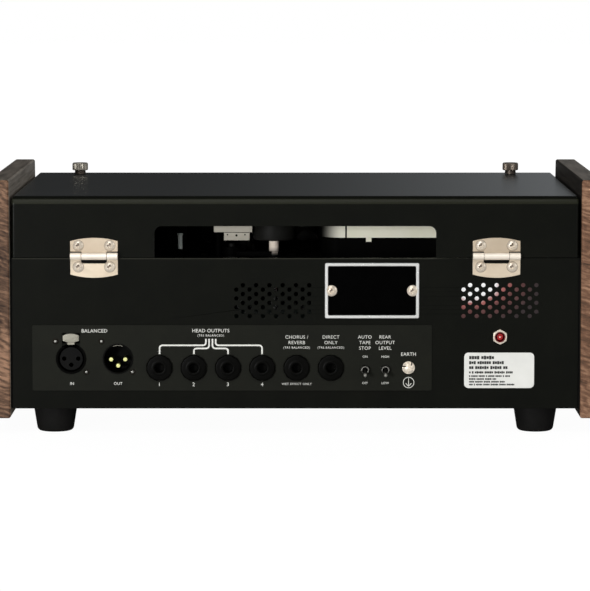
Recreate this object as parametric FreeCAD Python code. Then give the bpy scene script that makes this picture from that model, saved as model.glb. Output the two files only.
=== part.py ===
import FreeCAD, Part
import math
import os
from FreeCAD import Placement, Rotation, Vector

os.makedirs("parts", exist_ok=True)

# Tape echo unit. Millimetres, +Z up. The back of the unit faces +Y and the controls face -Y.
# X = 0 is the middle of the case and Z = 0 is the surface that the feet stand on.

# Case
rearY = 126.5            # outer face of the rear panel
caseWidth = 367.0        # between the cheeks
sheet = 1.5              # steel sheet thickness
panelSideGap = 1.5       # rear panel to each cheek
footHeight = 16.5
footR = 14.2
footDepth = 19.0         # rear pair, behind the rear panel
floorZ = footHeight      # underside of the tray
seamZ = 114.3            # where the lid meets the rear panel
seamGap = 0.6
lidTopZ = 153.7
lidWidth = 364.0
lidDepth = 232.0         # rear plane to the lid's front lip
lidBend = 5.0
lidEdge = 1.5            # fold between the lid's top or rear and its side walls
lipHeight = 12.0

# Cheeks
cheekThick = 14.0
cheekTopZ = 164.3
cheekBottomZ = 10.4
cheekProud = 3.0         # past the rear panel
cheekTopDepth = 213.0
tiltDeg = 10.0           # lean of the cheeks' front edges and of the fascia
cheekEase = 0.9

# Rear window in the lid
windowHalf = 90.4
windowTopZ = 134.5
windowCorner = 4.5

# Connector field
fieldLeft = 169.3
fieldRight = -87.9
fieldLowZ = 28.3
fieldHighZ = 70.7
fieldThick = 0.8
jackPitch = 22.08
jackFirstX = 87.6
jackZ = 43.1
jackBoreR = 3.2
jackCollarR = 8.5
jackNeckR = 6.5
jackCount = 6
xlrInX = 144.4
xlrOutX = 114.2
xlrZ = 48.8
xlrShellR = 9.75
xlrInsertR = 7.9
xlrCavityR = 8.9
xlrPinR = 1.55
latchPadWide = 10.9
xlrPinPitch = 4.55
xlrPinDrop = 4.85        # lower contact below the shell's middle
xlrPinSag = 0.8          # the upper pair below it
toggleXs = (-44.9, -58.0)
toggleZ = 41.9
toggleDrop = 17.0        # degrees below level at rest
toggleOut = 1.0          # pivot, outwards from the rear panel
toggleBoreR = 2.1
toggleBushR = 2.85
earthX = -73.0
earthZ = 43.1

# Plates and vents
plateX = -49.3
plateZ = 93.0
plateWide = 60.4
plateTall = 35.6
plateScrewHalf = 26.05
labelLeft = -108.8
labelRight = -153.9
labelLowZ = 29.8
labelHighZ = 52.8
labelThick = 0.25
ventRows = 8
ventColumns = 6
ventTopZ = 96.45
ventPitchX = 8.53
ventPitchZ = 2.86
ventR = 1.4
ventOddXs = (33.7, -112.4)      # first hole of the odd rows in each group
ventStagger = 4.2
dcX = -131.7
dcZ = 63.1

# Hinges
hingeXs = (129.2, -129.2)
hingeWide = 30.5
hingeAxisZ = 115.3
hingeAxisOut = 2.65
hingeLeaf = 1.2
hingeTopZ = 127.1
hingeBottomZ = 101.3
hingeCrown = 2.1
knuckleR = 2.3
knuckleMiddle = 16.0
hingePinR = 1.1
hingeScrewHalf = 10.07
hingeScrewR = 3.2
hingeScrewRise = 6.8     # upper pair above the pin
hingeScrewDrop = 6.9     # lower pair below the pin

# Thumbscrews
thumbX = 151.8
thumbDepth = 215.0
thumbHeadR = 5.5
thumbHeadTall = 5.2
thumbCollarR = 4.0
thumbCollarTall = 2.8
thumbStemR = 2.0

# Tape deck
deckZ = 108.0
deckThick = 2.0
deckFarDepth = 205.0
rollerX = 14.1
rollerDepth = 62.0
rollerR = 13.5
rollerLowZ = 120.0
rollerHighZ = 136.0
capstanR = 2.5
flywheelR = 34.0
pulleyR = 8.0
beltZ = 70.0
beltGroove = 1.5         # depth of both belt grooves
motorX = 96.0
motorDepth = 120.0
armPivotX = 42.0
cartridgeLeft = -15.7
cartridgeRight = -128.0
cartridgeSplitZ = 121.9
cartridgeTopZ = 146.0

# Fascia: local x across, local y up the slope, local z outwards
fasciaWide = 364.0
fasciaThick = 2.0
flangeDeep = 24.0
bushR = 3.6              # clearance holes for shafts, lamp and switch
fasciaTopDepth = 231.8
knobR = 8.0
knobTall = 14.0
fluteCount = 12
selectorR = 15.0
smallKnobs = ((-52, 92), (-8, 92), (36, 92), (-52, 42), (-8, 42), (36, 42))
selectorAt = (96, 72)
meterAt = (-124, 80)
meterWide = 66.0
meterTall = 50.0
frontJacks = ((-146, 28), (-112, 28))
powerAt = (150, 42)
lampAt = (150, 74)
powerDrop = 14.0         # degrees below the fascia's normal at rest
powerPivot = 0.4
meterNeedleDeg = 42.0    # left stop of the needle, measured from upright

tilt = math.radians(tiltDeg)
fasciaTopZ = lidTopZ - lipHeight - 0.5
fasciaLowZ = floorZ
fasciaHigh = (fasciaTopZ - fasciaLowZ) / math.cos(tilt)
fasciaLowDepth = fasciaTopDepth + (fasciaTopZ - fasciaLowZ) * math.tan(tilt)
fasciaPlacement = Placement(Vector(0, rearY - fasciaLowDepth, fasciaLowZ),
                            Rotation(Vector(1, 0, 0), 90 - tiltDeg))
axisX = Vector(1, 0, 0)
axisY = Vector(0, 1, 0)
axisZ = Vector(0, 0, 1)


def block(x0, x1, y0, y1, z0, z1):
    low = Vector(min(x0, x1), min(y0, y1), min(z0, z1))
    return Part.makeBox(abs(x1 - x0), abs(y1 - y0), abs(z1 - z0), low)


def rod(radius, start, length, direction):
    return Part.makeCylinder(radius, length, Vector(*start), direction)


def pegOut(x, z, radius, y0, y1):
    """A round bar along Y."""
    return rod(radius, (x, y0, z), y1 - y0, axisY)


def post(x, y, radius, z0, z1):
    """A round bar along Z."""
    return rod(radius, (x, y, z0), z1 - z0, axisZ)


def polygonFace(points):
    corners = [Vector(*point) for point in points]
    return Part.Face(Part.makePolygon(corners + corners[:1]))


def turned(profile, centre, axis, across):
    """Revolve (radius, height) points about an axis through a centre."""
    points = [Vector(*centre) + across * radius + axis * height for radius, height in profile]
    face = Part.Face(Part.makePolygon(points + points[:1]))
    return face.revolve(Vector(*centre), axis, 360)


def facetted(profile, centre, axis, across, sides):
    """An even-sided turning: rings of corners at (radius, height), closed flat or in a point."""
    third = axis.cross(across)
    base = Vector(*centre)

    def ring(radius, height):
        turns = [2 * math.pi * (step + 0.5) / sides for step in range(sides)]
        return [base + axis * height + across * (radius * math.cos(turn)) + third * (radius * math.sin(turn))
                for turn in turns]

    faces = []
    for radius, height in (profile[0], profile[-1]):
        if radius > 0:
            faces.append(polygonFace(ring(radius, height)))
    for low, high in zip(profile, profile[1:]):
        below, above = ring(*low), ring(*high)
        for step in range(sides):
            after = (step + 1) % sides
            corners = [below[step], below[after]] if low[0] > 0 else [below[step]]
            corners += [above[after], above[step]] if high[0] > 0 else [above[step]]
            faces.append(polygonFace(corners))
    solid = Part.Solid(Part.Shell(faces))
    if solid.Volume < 0:
        solid.reverse()
    return solid


def evenHole(x, z, radius, y0, y1, sides=12):
    """Many-sided hole along Y whose flats touch a circle of the radius."""
    corner = radius / math.cos(math.pi / sides)
    return facetted(((corner, 0), (corner, y1 - y0)), (x, y0, z), axisY, axisX, sides)


def turnedOut(profile, x, z, y=rearY):
    """A turned piece on the rear panel, heights measured outwards from y."""
    return turned(profile, (x, y, z), axisY, axisX)


def roundedPlate(x0, x1, z0, z1, radius, y0, thick):
    """A plate in the XZ plane whose four corners are arcs."""
    low, high = min(x0, x1), max(x0, x1)
    plate = block(low, high, y0, y0 + thick, z0, z1)
    upright = [edge for edge in plate.Edges
               if abs(edge.tangentAt(edge.FirstParameter).y) > 0.99]
    return plate.makeFillet(radius, upright)


def fuseAll(shapes):
    body = shapes[0]
    for shape in shapes[1:]:
        body = body.fuse(shape)
    return body.removeSplitter()


def save(name, *shapes):
    """Write one node; several separate solids go out as one group."""
    shape = shapes[0] if len(shapes) == 1 else Part.makeCompound(list(shapes))
    shape.exportStep("parts/" + name + ".step")


def onFascia(shape):
    placed = shape.copy()
    placed.Placement = fasciaPlacement.multiply(placed.Placement)
    return placed


def frontDepthAt(z):
    """Depth of the fascia's outer plane at a height."""
    return fasciaTopDepth + (fasciaTopZ - z) * math.tan(tilt)


def cheek(side):
    """A walnut side: vertical at the back, leaning at the front, with eased edges."""
    inner = side * caseWidth / 2
    lowDepth = cheekTopDepth + (cheekTopZ - cheekBottomZ) * math.tan(tilt)
    outline = ((inner, rearY + cheekProud, cheekBottomZ), (inner, rearY + cheekProud, cheekTopZ),
               (inner, rearY - cheekTopDepth, cheekTopZ), (inner, rearY - lowDepth, cheekBottomZ))
    board = polygonFace(outline).extrude(Vector(side * cheekThick, 0, 0))
    return board.makeChamfer(cheekEase, board.Edges)


def chassisTray():
    """Floor and two side walls folded from one sheet; the walls lean at the front."""
    half = caseWidth / 2
    floorDepth = frontDepthAt(floorZ) - fasciaThick - 0.3
    wallTop = seamZ - seamGap
    topDepth = frontDepthAt(wallTop) - fasciaThick - 0.3
    front = Vector(half, rearY - floorDepth, floorZ)
    sideFace = polygonFace(((half, rearY - sheet, floorZ), (half, rearY - sheet, wallTop),
                            (half, rearY - topDepth, wallTop), tuple(front)))
    right = sideFace.extrude(Vector(-sheet, 0, 0))
    left = right.mirror(Vector(0, 0, 0), axisX)
    floor = block(-half, half, rearY - floorDepth, rearY - sheet, floorZ, floorZ + sheet)
    tray = fuseAll([floor, left, right])
    folds = [edge for edge in tray.Edges
             if abs(edge.CenterOfMass.z - floorZ) < 0.1 and abs(abs(edge.CenterOfMass.x) - half) < 0.1]
    return tray.makeFillet(1.2, folds)


def ventCentres():
    """Two groups of staggered rows."""
    centres = []
    for first in ventOddXs:
        for row in range(ventRows):
            shift = ventStagger if row % 2 else 0
            for column in range(ventColumns):
                centres.append((first + shift - column * ventPitchX, ventTopZ - row * ventPitchZ))
    return centres


def rearPanel():
    """Upright sheet with eased side edges, vents and cut-outs for each connector."""
    half = caseWidth / 2 - panelSideGap
    panel = block(-half, half, rearY - sheet, rearY, floorZ, seamZ - seamGap)
    edges = [edge for edge in panel.Edges
             if abs(abs(edge.CenterOfMass.x) - half) < 0.1 and edge.CenterOfMass.y > rearY - 0.1]
    panel = panel.makeFillet(0.8, edges)
    cuts = [evenHole(x, z, ventR, rearY - 3, rearY + 1, 8) for x, z in ventCentres()]
    cuts.append(evenHole(dcX, dcZ, 4.0, rearY - 3, rearY + 1))
    return panel.cut(Part.makeCompound(cuts + connectorHoles(rearY - 3, rearY + 1)))


def connectorHoles(y0, y1):
    """The holes that the panel and the printed field share."""
    holes = [evenHole(jackX(number), jackZ, jackNeckR, y0, y1) for number in range(jackCount)]
    holes += [evenHole(x, xlrZ, xlrShellR, y0, y1, 24) for x in (xlrInX, xlrOutX)]
    holes += [evenHole(x, toggleZ, toggleBushR + 0.05, y0, y1) for x in toggleXs]
    return holes + [latchSlot(y0, y1)]


def connectorField():
    """Thin printed plate that carries the connectors' legends."""
    plate = roundedPlate(fieldRight, fieldLeft, fieldLowZ, fieldHighZ, 1.0, rearY, fieldThick)
    return plate.cut(Part.makeCompound(connectorHoles(rearY - 1, rearY + 2)))


def latchSlot(y0, y1):
    """Clearance round the release tab."""
    return block(xlrInX - 5.75, xlrInX + 5.75, y0, y1, xlrZ + 7.9, xlrZ + 16.75)


def jackX(number):
    return jackFirstX - number * jackPitch


def jackSocket(x, z, face=rearY + fieldThick):
    """Quarter-inch jack: a round collar outside, a neck in the panel and a square body inside."""
    inner = -5.0
    collar = turnedOut(((0, 0), (jackCollarR, 0), (jackCollarR, 1.8), (jackCollarR - 1.0, 2.6), (0, 2.6)),
                       x, z, face)
    neck = facetted(((jackNeckR, inner), (jackNeckR, 0)), (x, face, z), axisY, axisX, 24)
    body = block(x - 8, x + 8, face - 26, face + inner, z - 8, z + 8)
    return fuseAll([collar, neck, body]).cut(pegOut(x, z, jackBoreR, face - 30, face + 4))


def frontJack(place):
    """The rear panel's jack, made along the fascia's outward direction."""
    jack = jackSocket(0, 0, 0)
    jack.rotate(Vector(0, 0, 0), axisX, 90)
    jack.translate(Vector(*place, 0))
    return jack


def xlrShell(x, cavity):
    """Round connector shell with a square mounting flange and housing inside the panel."""
    lip = rearY + fieldThick + 0.6
    shell = pegOut(x, xlrZ, xlrShellR - 0.05, rearY - 4, lip)
    shell = shell.fuse(block(x - 13, x + 13, rearY - 4, rearY - sheet, xlrZ - 13, xlrZ + 11))
    shell = shell.fuse(block(x - 11, x + 11, rearY - 20, rearY - 4, xlrZ - 11, xlrZ + 11))
    shell = shell.cut(pegOut(x, xlrZ, cavity, rearY - 16, lip + 1))
    return shell.removeSplitter()


def xlrInShell():
    shell = xlrShell(xlrInX, xlrInsertR + 0.5)
    slot = block(xlrInX - 5.8, xlrInX + 5.8, rearY - 10, rearY + 3, xlrZ + 8.0, xlrZ + 20)
    return shell.cut(slot)


def xlrInsert():
    """Socket insert with three contact holes, the third below the other two."""
    lip = rearY + fieldThick
    insert = pegOut(xlrInX, xlrZ, xlrInsertR, rearY - 16, lip)
    holes = [evenHole(xlrInX + dx, xlrZ + dz, xlrPinR + 0.1, rearY - 12, lip + 1)
             for dx, dz in xlrContacts()]
    return insert.cut(Part.makeCompound(holes))


def xlrContacts():
    return ((-xlrPinPitch, -xlrPinSag), (xlrPinPitch, -xlrPinSag), (0, -xlrPinDrop))


def xlrPins():
    """Three round-nosed pins standing from the bottom of the cavity."""
    low = rearY - 16
    profile = ((xlrPinR, 0), (xlrPinR, 12.4), (xlrPinR - 0.5, 13.3), (0, 13.6))
    return [facetted(profile, (xlrOutX - dx, low, xlrZ + dz), axisY, axisX, 16) for dx, dz in xlrContacts()]


def xlrLatch():
    """Release tab: a thumb pad with crowned long edges on a narrow stem."""
    face = rearY + fieldThick
    half = latchPadWide / 2
    low, high = xlrZ + 10.7, xlrZ + 16.6
    flank = 1.6
    middle = (low + high) / 2
    y = face - 0.6
    ends = [Vector(xlrInX + side * half, y, middle + up * flank)
            for side, up in ((-1, 1), (1, 1), (1, -1), (-1, -1))]
    upper = Part.Arc(ends[0], Vector(xlrInX, y, high), ends[1]).toShape()
    lower = Part.Arc(ends[2], Vector(xlrInX, y, low), ends[3]).toShape()
    outline = Part.Wire([upper, Part.makeLine(ends[1], ends[2]), lower, Part.makeLine(ends[3], ends[0])])
    pad = Part.Face(outline).extrude(Vector(0, 2.4, 0))
    stem = block(xlrInX - 2.6, xlrInX + 2.6, face - 3.2, face + 0.6, xlrZ + 9.2, xlrZ + 13)
    return fuseAll([pad, stem])


def crossHead(x, z, radius, tall, y=rearY, slot=0.9):
    """Domed screw head with a cross cut into it, its underside on the plane y."""
    rings = ((radius, 0), (radius, 0.3 * tall), (0.8 * radius, 0.78 * tall), (0.42 * radius, tall))
    head = facetted(rings, (x, y, z), axisY, axisX, 16)
    long = radius * 0.62
    deep = y + tall - 0.75
    cross = block(x - long, x + long, deep, y + tall + 1, z - slot / 2, z + slot / 2)
    cross = cross.fuse(block(x - slot / 2, x + slot / 2, deep, y + tall + 1, z - long, z + long))
    return head.cut(cross)


def panelScrews():
    screws = []
    face = rearY + fieldThick
    for x in (xlrInX, xlrOutX + 0.6):
        for side in (1, -1):
            screws.append(crossHead(x + side * 9.9, xlrZ + 1.5 + side * 9.95, 2.1, 0.9, face, 0.7))
    plateFace = rearY + 1.4
    for side in (1, -1):
        screws.append(crossHead(plateX + side * plateScrewHalf, plateZ, 3.6, 1.5, plateFace))
    leafFace = rearY + hingeLeaf
    for x in hingeXs:
        for side in (1, -1):
            across = x + side * hingeScrewHalf
            screws.append(crossHead(across, hingeAxisZ - hingeScrewDrop, hingeScrewR, 1.4, leafFace))
    return screws


def upperHingeScrews():
    leafFace = rearY + hingeLeaf
    return [crossHead(x + side * hingeScrewHalf, hingeAxisZ + hingeScrewRise, hingeScrewR, 1.4, leafFace)
            for x in hingeXs for side in (1, -1)]


def hingePlate(x, z0, z1, crownUp):
    """Leaf whose free end is a shallow arc."""
    half = hingeWide / 2
    crownZ = z1 if crownUp else z0
    innerZ = z0 if crownUp else z1
    shoulder = crownZ - hingeCrown if crownUp else crownZ + hingeCrown
    y = rearY
    arc = Part.Arc(Vector(x - half, y, shoulder), Vector(x, y, crownZ), Vector(x + half, y, shoulder))
    sides = [Part.makeLine(Vector(x + half, y, shoulder), Vector(x + half, y, innerZ)),
             Part.makeLine(Vector(x + half, y, innerZ), Vector(x - half, y, innerZ)),
             Part.makeLine(Vector(x - half, y, innerZ), Vector(x - half, y, shoulder))]
    face = Part.Face(Part.Wire([arc.toShape()] + sides))
    return face.extrude(Vector(0, hingeLeaf, 0))


def knuckle(x0, x1):
    low = min(x0, x1)
    centre = (low, rearY + hingeAxisOut, hingeAxisZ)
    barrel = rod(knuckleR, centre, abs(x1 - x0), axisX)
    return barrel.cut(rod(hingePinR + 0.05, (low - 1, centre[1], centre[2]), abs(x1 - x0) + 2, axisX))


def lowerLeaf(x):
    """Fixed leaf with the two outer knuckles and a slot under the middle one."""
    half = hingeWide / 2
    plate = hingePlate(x, hingeBottomZ, hingeAxisZ, False)
    gap = knuckleMiddle / 2 + 0.3
    plate = plate.cut(block(x - gap, x + gap, rearY - 1, rearY + 5, hingeAxisZ - 4.7, hingeAxisZ + 5))
    barrels = [knuckle(x - half, x - gap), knuckle(x + gap, x + half)]
    cheeks = []
    for low, high in ((x - half, x - gap), (x + gap, x + half)):
        web = block(low, high, rearY, rearY + hingeAxisOut, hingeAxisZ - knuckleR, hingeAxisZ)
        bore = rod(hingePinR + 0.05, (low, rearY + hingeAxisOut, hingeAxisZ), high - low, axisX)
        cheeks.append(web.cut(bore))
    leaf = fuseAll([plate] + barrels + cheeks)
    return leaf.cut(block(x - half - 1, x + half + 1, rearY - 1, rearY + 0.35, seamZ - 0.4, seamZ + 5))


def upperLeaf(x):
    """Moving leaf with the middle knuckle, cut back round the outer ones."""
    gap = knuckleMiddle / 2
    half = hingeWide / 2
    plate = hingePlate(x, hingeAxisZ, hingeTopZ, True)
    for low, high in ((x - half - 1, x - gap), (x + gap, x + half + 1)):
        plate = plate.cut(block(low, high, rearY - 1, rearY + 5, hingeAxisZ - 4, hingeAxisZ + 2.9))
    web = block(x - gap, x + gap, rearY, rearY + hingeAxisOut, hingeAxisZ, hingeAxisZ + knuckleR)
    bore = rod(hingePinR + 0.05, (x - gap, rearY + hingeAxisOut, hingeAxisZ), 2 * gap, axisX)
    return fuseAll([plate, knuckle(x - gap, x + gap), web.cut(bore)])


def hingePin(x):
    half = hingeWide / 2
    return rod(hingePinR, (x - half, rearY + hingeAxisOut, hingeAxisZ), hingeWide, axisX)


def lidCover():
    """Folded lid: top, rear wall with its window, two side walls and a front lip."""
    half = lidWidth / 2
    top = lidTopZ
    front = rearY - lidDepth
    low = seamZ
    frontLow = top - lipHeight
    outer = block(-half, half, front, rearY, low, top)
    bend = [edge for edge in outer.Edges
            if abs(edge.CenterOfMass.z - top) < 0.1 and abs(edge.CenterOfMass.y - rearY) < 0.1]
    outer = outer.makeFillet(lidBend, bend)
    frontBend = [edge for edge in outer.Edges
                 if abs(edge.CenterOfMass.z - top) < 0.1 and abs(edge.CenterOfMass.y - front) < 0.1]
    outer = outer.makeFillet(1.6, frontBend)
    folds = [edge for edge in outer.Edges
             if abs(abs(edge.CenterOfMass.x) - half) < 0.1 and edge.CenterOfMass.z > low + 0.1]
    outer = outer.makeFillet(lidEdge, folds)
    inner = block(-half + sheet, half - sheet, front + sheet, rearY - sheet, low - 1, top - sheet)
    innerBend = [edge for edge in inner.Edges
                 if abs(edge.CenterOfMass.z - top + sheet) < 0.1
                 and abs(edge.CenterOfMass.y - rearY + sheet) < 0.1]
    lid = outer.cut(inner.makeFillet(lidBend - sheet, innerBend))
    clear = 2.5     # the lower front is open: the side walls lean with the fascia behind the lip
    spread = half + 1
    topLean = rearY - frontDepthAt(frontLow) + fasciaThick + clear
    lowLean = rearY - frontDepthAt(low) + fasciaThick + clear
    away = polygonFace(((-spread, front - 1, frontLow), (-spread, topLean + 20, frontLow),
                        (-spread, lowLean + 20, low - 1), (-spread, front - 40, low - 1)))
    lid = lid.cut(away.extrude(Vector(2 * spread, 0, 0)))
    return lid.cut(Part.makeCompound([rearWindow()] + thumbHoles()))


def rearWindow():
    """Opening from the seam upwards, with two rounded upper corners."""
    window = block(-windowHalf, windowHalf, rearY - 4, rearY + 1, seamZ - 5, windowTopZ)
    upper = [edge for edge in window.Edges
             if abs(edge.CenterOfMass.z - windowTopZ) < 0.1
             and abs(abs(edge.CenterOfMass.x) - windowHalf) < 0.1]
    return window.makeFillet(windowCorner, upper)


def thumbHoles():
    y = rearY - thumbDepth
    return [post(side * thumbX, y, thumbStemR + 0.4, lidTopZ - 4, lidTopZ + 1) for side in (1, -1)]


def thumbscrew(side):
    """Captive screw: a chamfered head on a collar, with its stem through the lid."""
    top = thumbCollarTall + thumbHeadTall
    profile = ((0, -6), (thumbStemR, -6), (thumbStemR, 0.3), (thumbCollarR, 0.3),
               (thumbCollarR, thumbCollarTall), (thumbHeadR, thumbCollarTall),
               (thumbHeadR, top - 0.7), (thumbHeadR - 0.7, top), (0, top))
    return turned(profile, (side * thumbX, rearY - thumbDepth, lidTopZ), axisZ, axisX)


def fasciaHole(x, y, radius):
    corner = radius / math.cos(math.pi / 12)
    return facetted(((corner, -5), (corner, 3)), (x, y, 0), axisZ, axisX, 12)


def fascia():
    """Leaning control panel with a turned-back top flange that takes the thumbscrews."""
    half = fasciaWide / 2
    panel = Part.makeBox(2 * half, fasciaHigh, fasciaThick, Vector(-half, 0, -fasciaThick))
    ends = [edge for edge in panel.Edges
            if abs(abs(edge.CenterOfMass.x) - half) < 0.1 and edge.CenterOfMass.z > -0.1]
    panel = panel.makeFillet(1.0, ends)
    cuts = [fasciaHole(x, y, bushR) for x, y in smallKnobs + (selectorAt, lampAt, powerAt)]
    cuts += [fasciaHole(x, y, jackNeckR) for x, y in frontJacks]
    mx, my = meterAt
    cuts.append(Part.makeBox(meterWide - 8, meterTall - 8, 8,
                             Vector(mx - meterWide / 2 + 4, my - meterTall / 2 + 4, -5)))
    panel = onFascia(panel.cut(Part.makeCompound(cuts)))
    wallX = lidWidth / 2 - sheet - 0.5
    flange = block(-wallX, wallX, rearY - fasciaTopDepth + 1, rearY - fasciaTopDepth + flangeDeep,
                   fasciaTopZ - sheet, fasciaTopZ)
    y = rearY - thumbDepth
    for x in (-thumbX, thumbX):
        flange = flange.fuse(post(x, y, 4.0, fasciaTopZ, fasciaTopZ + 4))
        flange = flange.cut(post(x, y, thumbStemR, fasciaTopZ - 5, fasciaTopZ + 5))
    return fuseAll([panel, flange])


def fasciaBracket(side):
    """Side bracket that ties the control panel to the tray's wall."""
    wallX = lidWidth / 2 - sheet - 0.5
    x0 = side * (wallX - sheet)
    low, high = floorZ + sheet, fasciaTopZ - sheet
    lowFront = rearY - frontDepthAt(low) + fasciaThick / math.cos(tilt)
    highFront = rearY - frontDepthAt(high) + fasciaThick / math.cos(tilt)
    outline = ((x0, lowFront, low), (x0, highFront, high), (x0, rearY - fasciaTopDepth + flangeDeep, high),
               (x0, lowFront + flangeDeep, low))
    return polygonFace(outline).extrude(Vector(side * sheet, 0, 0))


def footShape(x, y):
    """Tapered rubber foot with an eased tread and a screw recess."""
    profile = ((10.6, 0), (11.8, 1.2), (footR, footHeight))
    foot = facetted(profile, (x, y, 0), axisZ, axisX, 24)
    return foot.cut(facetted(((4.6, -1), (4.6, 9)), (x, y, 0), axisZ, axisX, 12))


def feet():
    rows = (rearY - footDepth, rearY - 215)
    return [footShape(side * 156, y) for side in (1, -1) for y in rows]


def nameplate():
    """Blank framed plate: a raised border round a sunk field."""
    x0, x1 = plateX - plateWide / 2, plateX + plateWide / 2
    z0, z1 = plateZ - plateTall / 2, plateZ + plateTall / 2
    plate = roundedPlate(x0, x1, z0, z1, 0.8, rearY, 1.8)
    rim = 2.1
    sunk = block(x0 + rim, x1 - rim, rearY + 1.4, rearY + 3, z0 + rim, z1 - rim)
    seats = [evenHole(plateX + side * plateScrewHalf, plateZ, 3.65, rearY + 1.4, rearY + 3, 16)
             for side in (1, -1)]
    return plate.cut(Part.makeCompound([sunk] + seats))


def ratingLabel():
    return roundedPlate(labelRight, labelLeft, labelLowZ, labelHighZ, 2.8, rearY, labelThick)


def dcInlet():
    """Barrel socket: a sleeve through the panel with a pin in its middle."""
    base = facetted(((6.5, -14), (6.5, -8)), (dcX, rearY, dcZ), axisY, axisX, 16)
    sleeve = facetted(((3.35, -8), (3.35, 2.9)), (dcX, rearY, dcZ), axisY, axisX, 24)
    sleeve = sleeve.cut(pegOut(dcX, dcZ, 2.75, rearY - 8, rearY + 4))
    pin = facetted(((1.0, -8), (1.0, 1.8)), (dcX, rearY, dcZ), axisY, axisX, 12)
    return fuseAll([sleeve, base, pin])


def dcNut():
    """Hexagon nut with a point upwards, faced with a shallow chamfer."""
    corner = 5.05
    points = [(dcX + corner * math.sin(math.radians(60 * k)), rearY,
               dcZ + corner * math.cos(math.radians(60 * k))) for k in range(6)]
    nut = polygonFace(points).extrude(Vector(0, 2.2, 0))
    outside = corner + 0.6
    cone = turnedOut(((0, 0), (outside, 0), (outside, 1.5), (corner - 0.5, 2.2), (0, 2.2)), dcX, dcZ)
    return nut.common(cone).cut(evenHole(dcX, dcZ, 3.36, rearY - 1, rearY + 4, 24))


def toggleBody(x):
    """Miniature toggle: threaded bushing through the panel and a box behind."""
    face = rearY + fieldThick
    low = -sheet - fieldThick
    bushing = facetted(((toggleBushR, low), (toggleBushR, 3.2), (toggleBushR - 0.3, 3.6)),
                       (x, face, toggleZ), axisY, axisX, 24)
    body = block(x - 3.4, x + 3.4, rearY - sheet - 10, rearY - sheet, toggleZ - 6, toggleZ + 6)
    hollow = evenHole(x, toggleZ, toggleBoreR, rearY - sheet - 4, face + 5, 16)
    return fuseAll([bushing, body]).cut(hollow)


def leverShape(long, root, tip, pivot):
    """Bat lever along +Z from its pivot ball, thicker towards a round end, on a cross pin."""
    half = pivot * 0.7
    rings = [(pivot * 0.7, -half), (pivot, 0), (pivot * 0.7, half), (root, pivot * 0.95),
             (tip * 0.92, long - 1.3 * tip), (tip, long - 0.9 * tip),
             (tip * 0.72, long - 0.25 * tip), (0, long)]
    stem = facetted(rings, (0, 0, 0), axisZ, axisX, 12)
    return fuseAll([stem, rod(0.45, (-pivot - 0.4, 0, 0), 2 * pivot + 0.8, axisX)])


def rearLever(x):
    """Lever that leans down out of its bushing."""
    lever = leverShape(10.2, 0.75, 1.15, 1.4)
    lever.rotate(Vector(0, 0, 0), axisX, -90 - toggleDrop)
    lever.translate(Vector(x, rearY + toggleOut, toggleZ))
    return lever


def powerBody():
    x, y = powerAt
    low = -fasciaThick - 14
    bushing = facetted(((3.4, -fasciaThick - 1), (3.4, 4)), (x, y, 0), axisZ, axisX, 24)
    body = Part.makeBox(14, 20, 14, Vector(x - 7, y - 10, low))
    hollow = facetted(((2.7, -fasciaThick - 4), (2.7, 5)), (x, y, 0), axisZ, axisX, 16)
    return onFascia(fuseAll([bushing, body]).cut(hollow))


def powerLever():
    lever = leverShape(17, 1.0, 2.4, 1.6)
    lever.rotate(Vector(0, 0, 0), axisX, powerDrop)
    lever.translate(Vector(powerAt[0], powerAt[1], powerPivot))
    return onFascia(lever)


def lamp():
    """Round lens in a threaded bezel."""
    profile = ((3.5, -9), (3.5, 0), (5.2, 0), (5.2, 1.6), (3.4, 1.6), (2.4, 3.0), (0, 3.6))
    return onFascia(facetted(profile, (*lampAt, 0), axisZ, axisX, 24))


def earthTerminal():
    """Binding screw: a washer under a domed cross head."""
    face = rearY + fieldThick
    washer = facetted(((4.3, 0), (4.3, 0.9)), (earthX, face, earthZ), axisY, axisX, 24)
    return fuseAll([washer, crossHead(earthX, earthZ, 3.7, 2.4, face + 0.8)])


def potBody(place, radius):
    """Can and bushing behind the fascia, bored for the knob's shaft."""
    neck = bushR - 0.05
    rings = ((radius, -fasciaThick - 9), (radius, -fasciaThick), (neck, -fasciaThick), (neck, 0.2))
    can = facetted(rings, (*place, 0), axisZ, axisX, 16)
    bore = 3.05 / math.cos(math.pi / 16)
    return onFascia(can.cut(facetted(((bore, -fasciaThick - 4.2), (bore, 1)), (*place, 0), axisZ, axisX, 16)))


def knob(place, radius, tall):
    """Skirted knob with a fluted grip, a pointer groove and its own shaft."""
    x, y = place
    low = 0.6
    waist = low + 3.2
    grip = radius * 0.78
    skirt = turned(((0, low), (radius, low), (radius, low + 1.6), (grip, waist), (0, waist)),
                   (x, y, 0), axisZ, axisX)
    star = []
    for step in range(2 * fluteCount):
        angle = math.pi * step / fluteCount
        reach = grip * (0.99 if step % 2 else 0.86)
        star.append((x + reach * math.sin(angle), y + reach * math.cos(angle), waist - 0.5))
    crown = polygonFace(star).extrude(Vector(0, 0, tall - waist + 0.5))
    groove = Part.makeBox(0.9, grip * 0.8, 1.2, Vector(x - 0.45, y + grip * 0.12, tall - 0.5))
    shaft = Part.makeCylinder(3.0, low + 5.7, Vector(x, y, -5.5))
    return onFascia(fuseAll([skirt, crown, shaft]).cut(groove))


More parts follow.
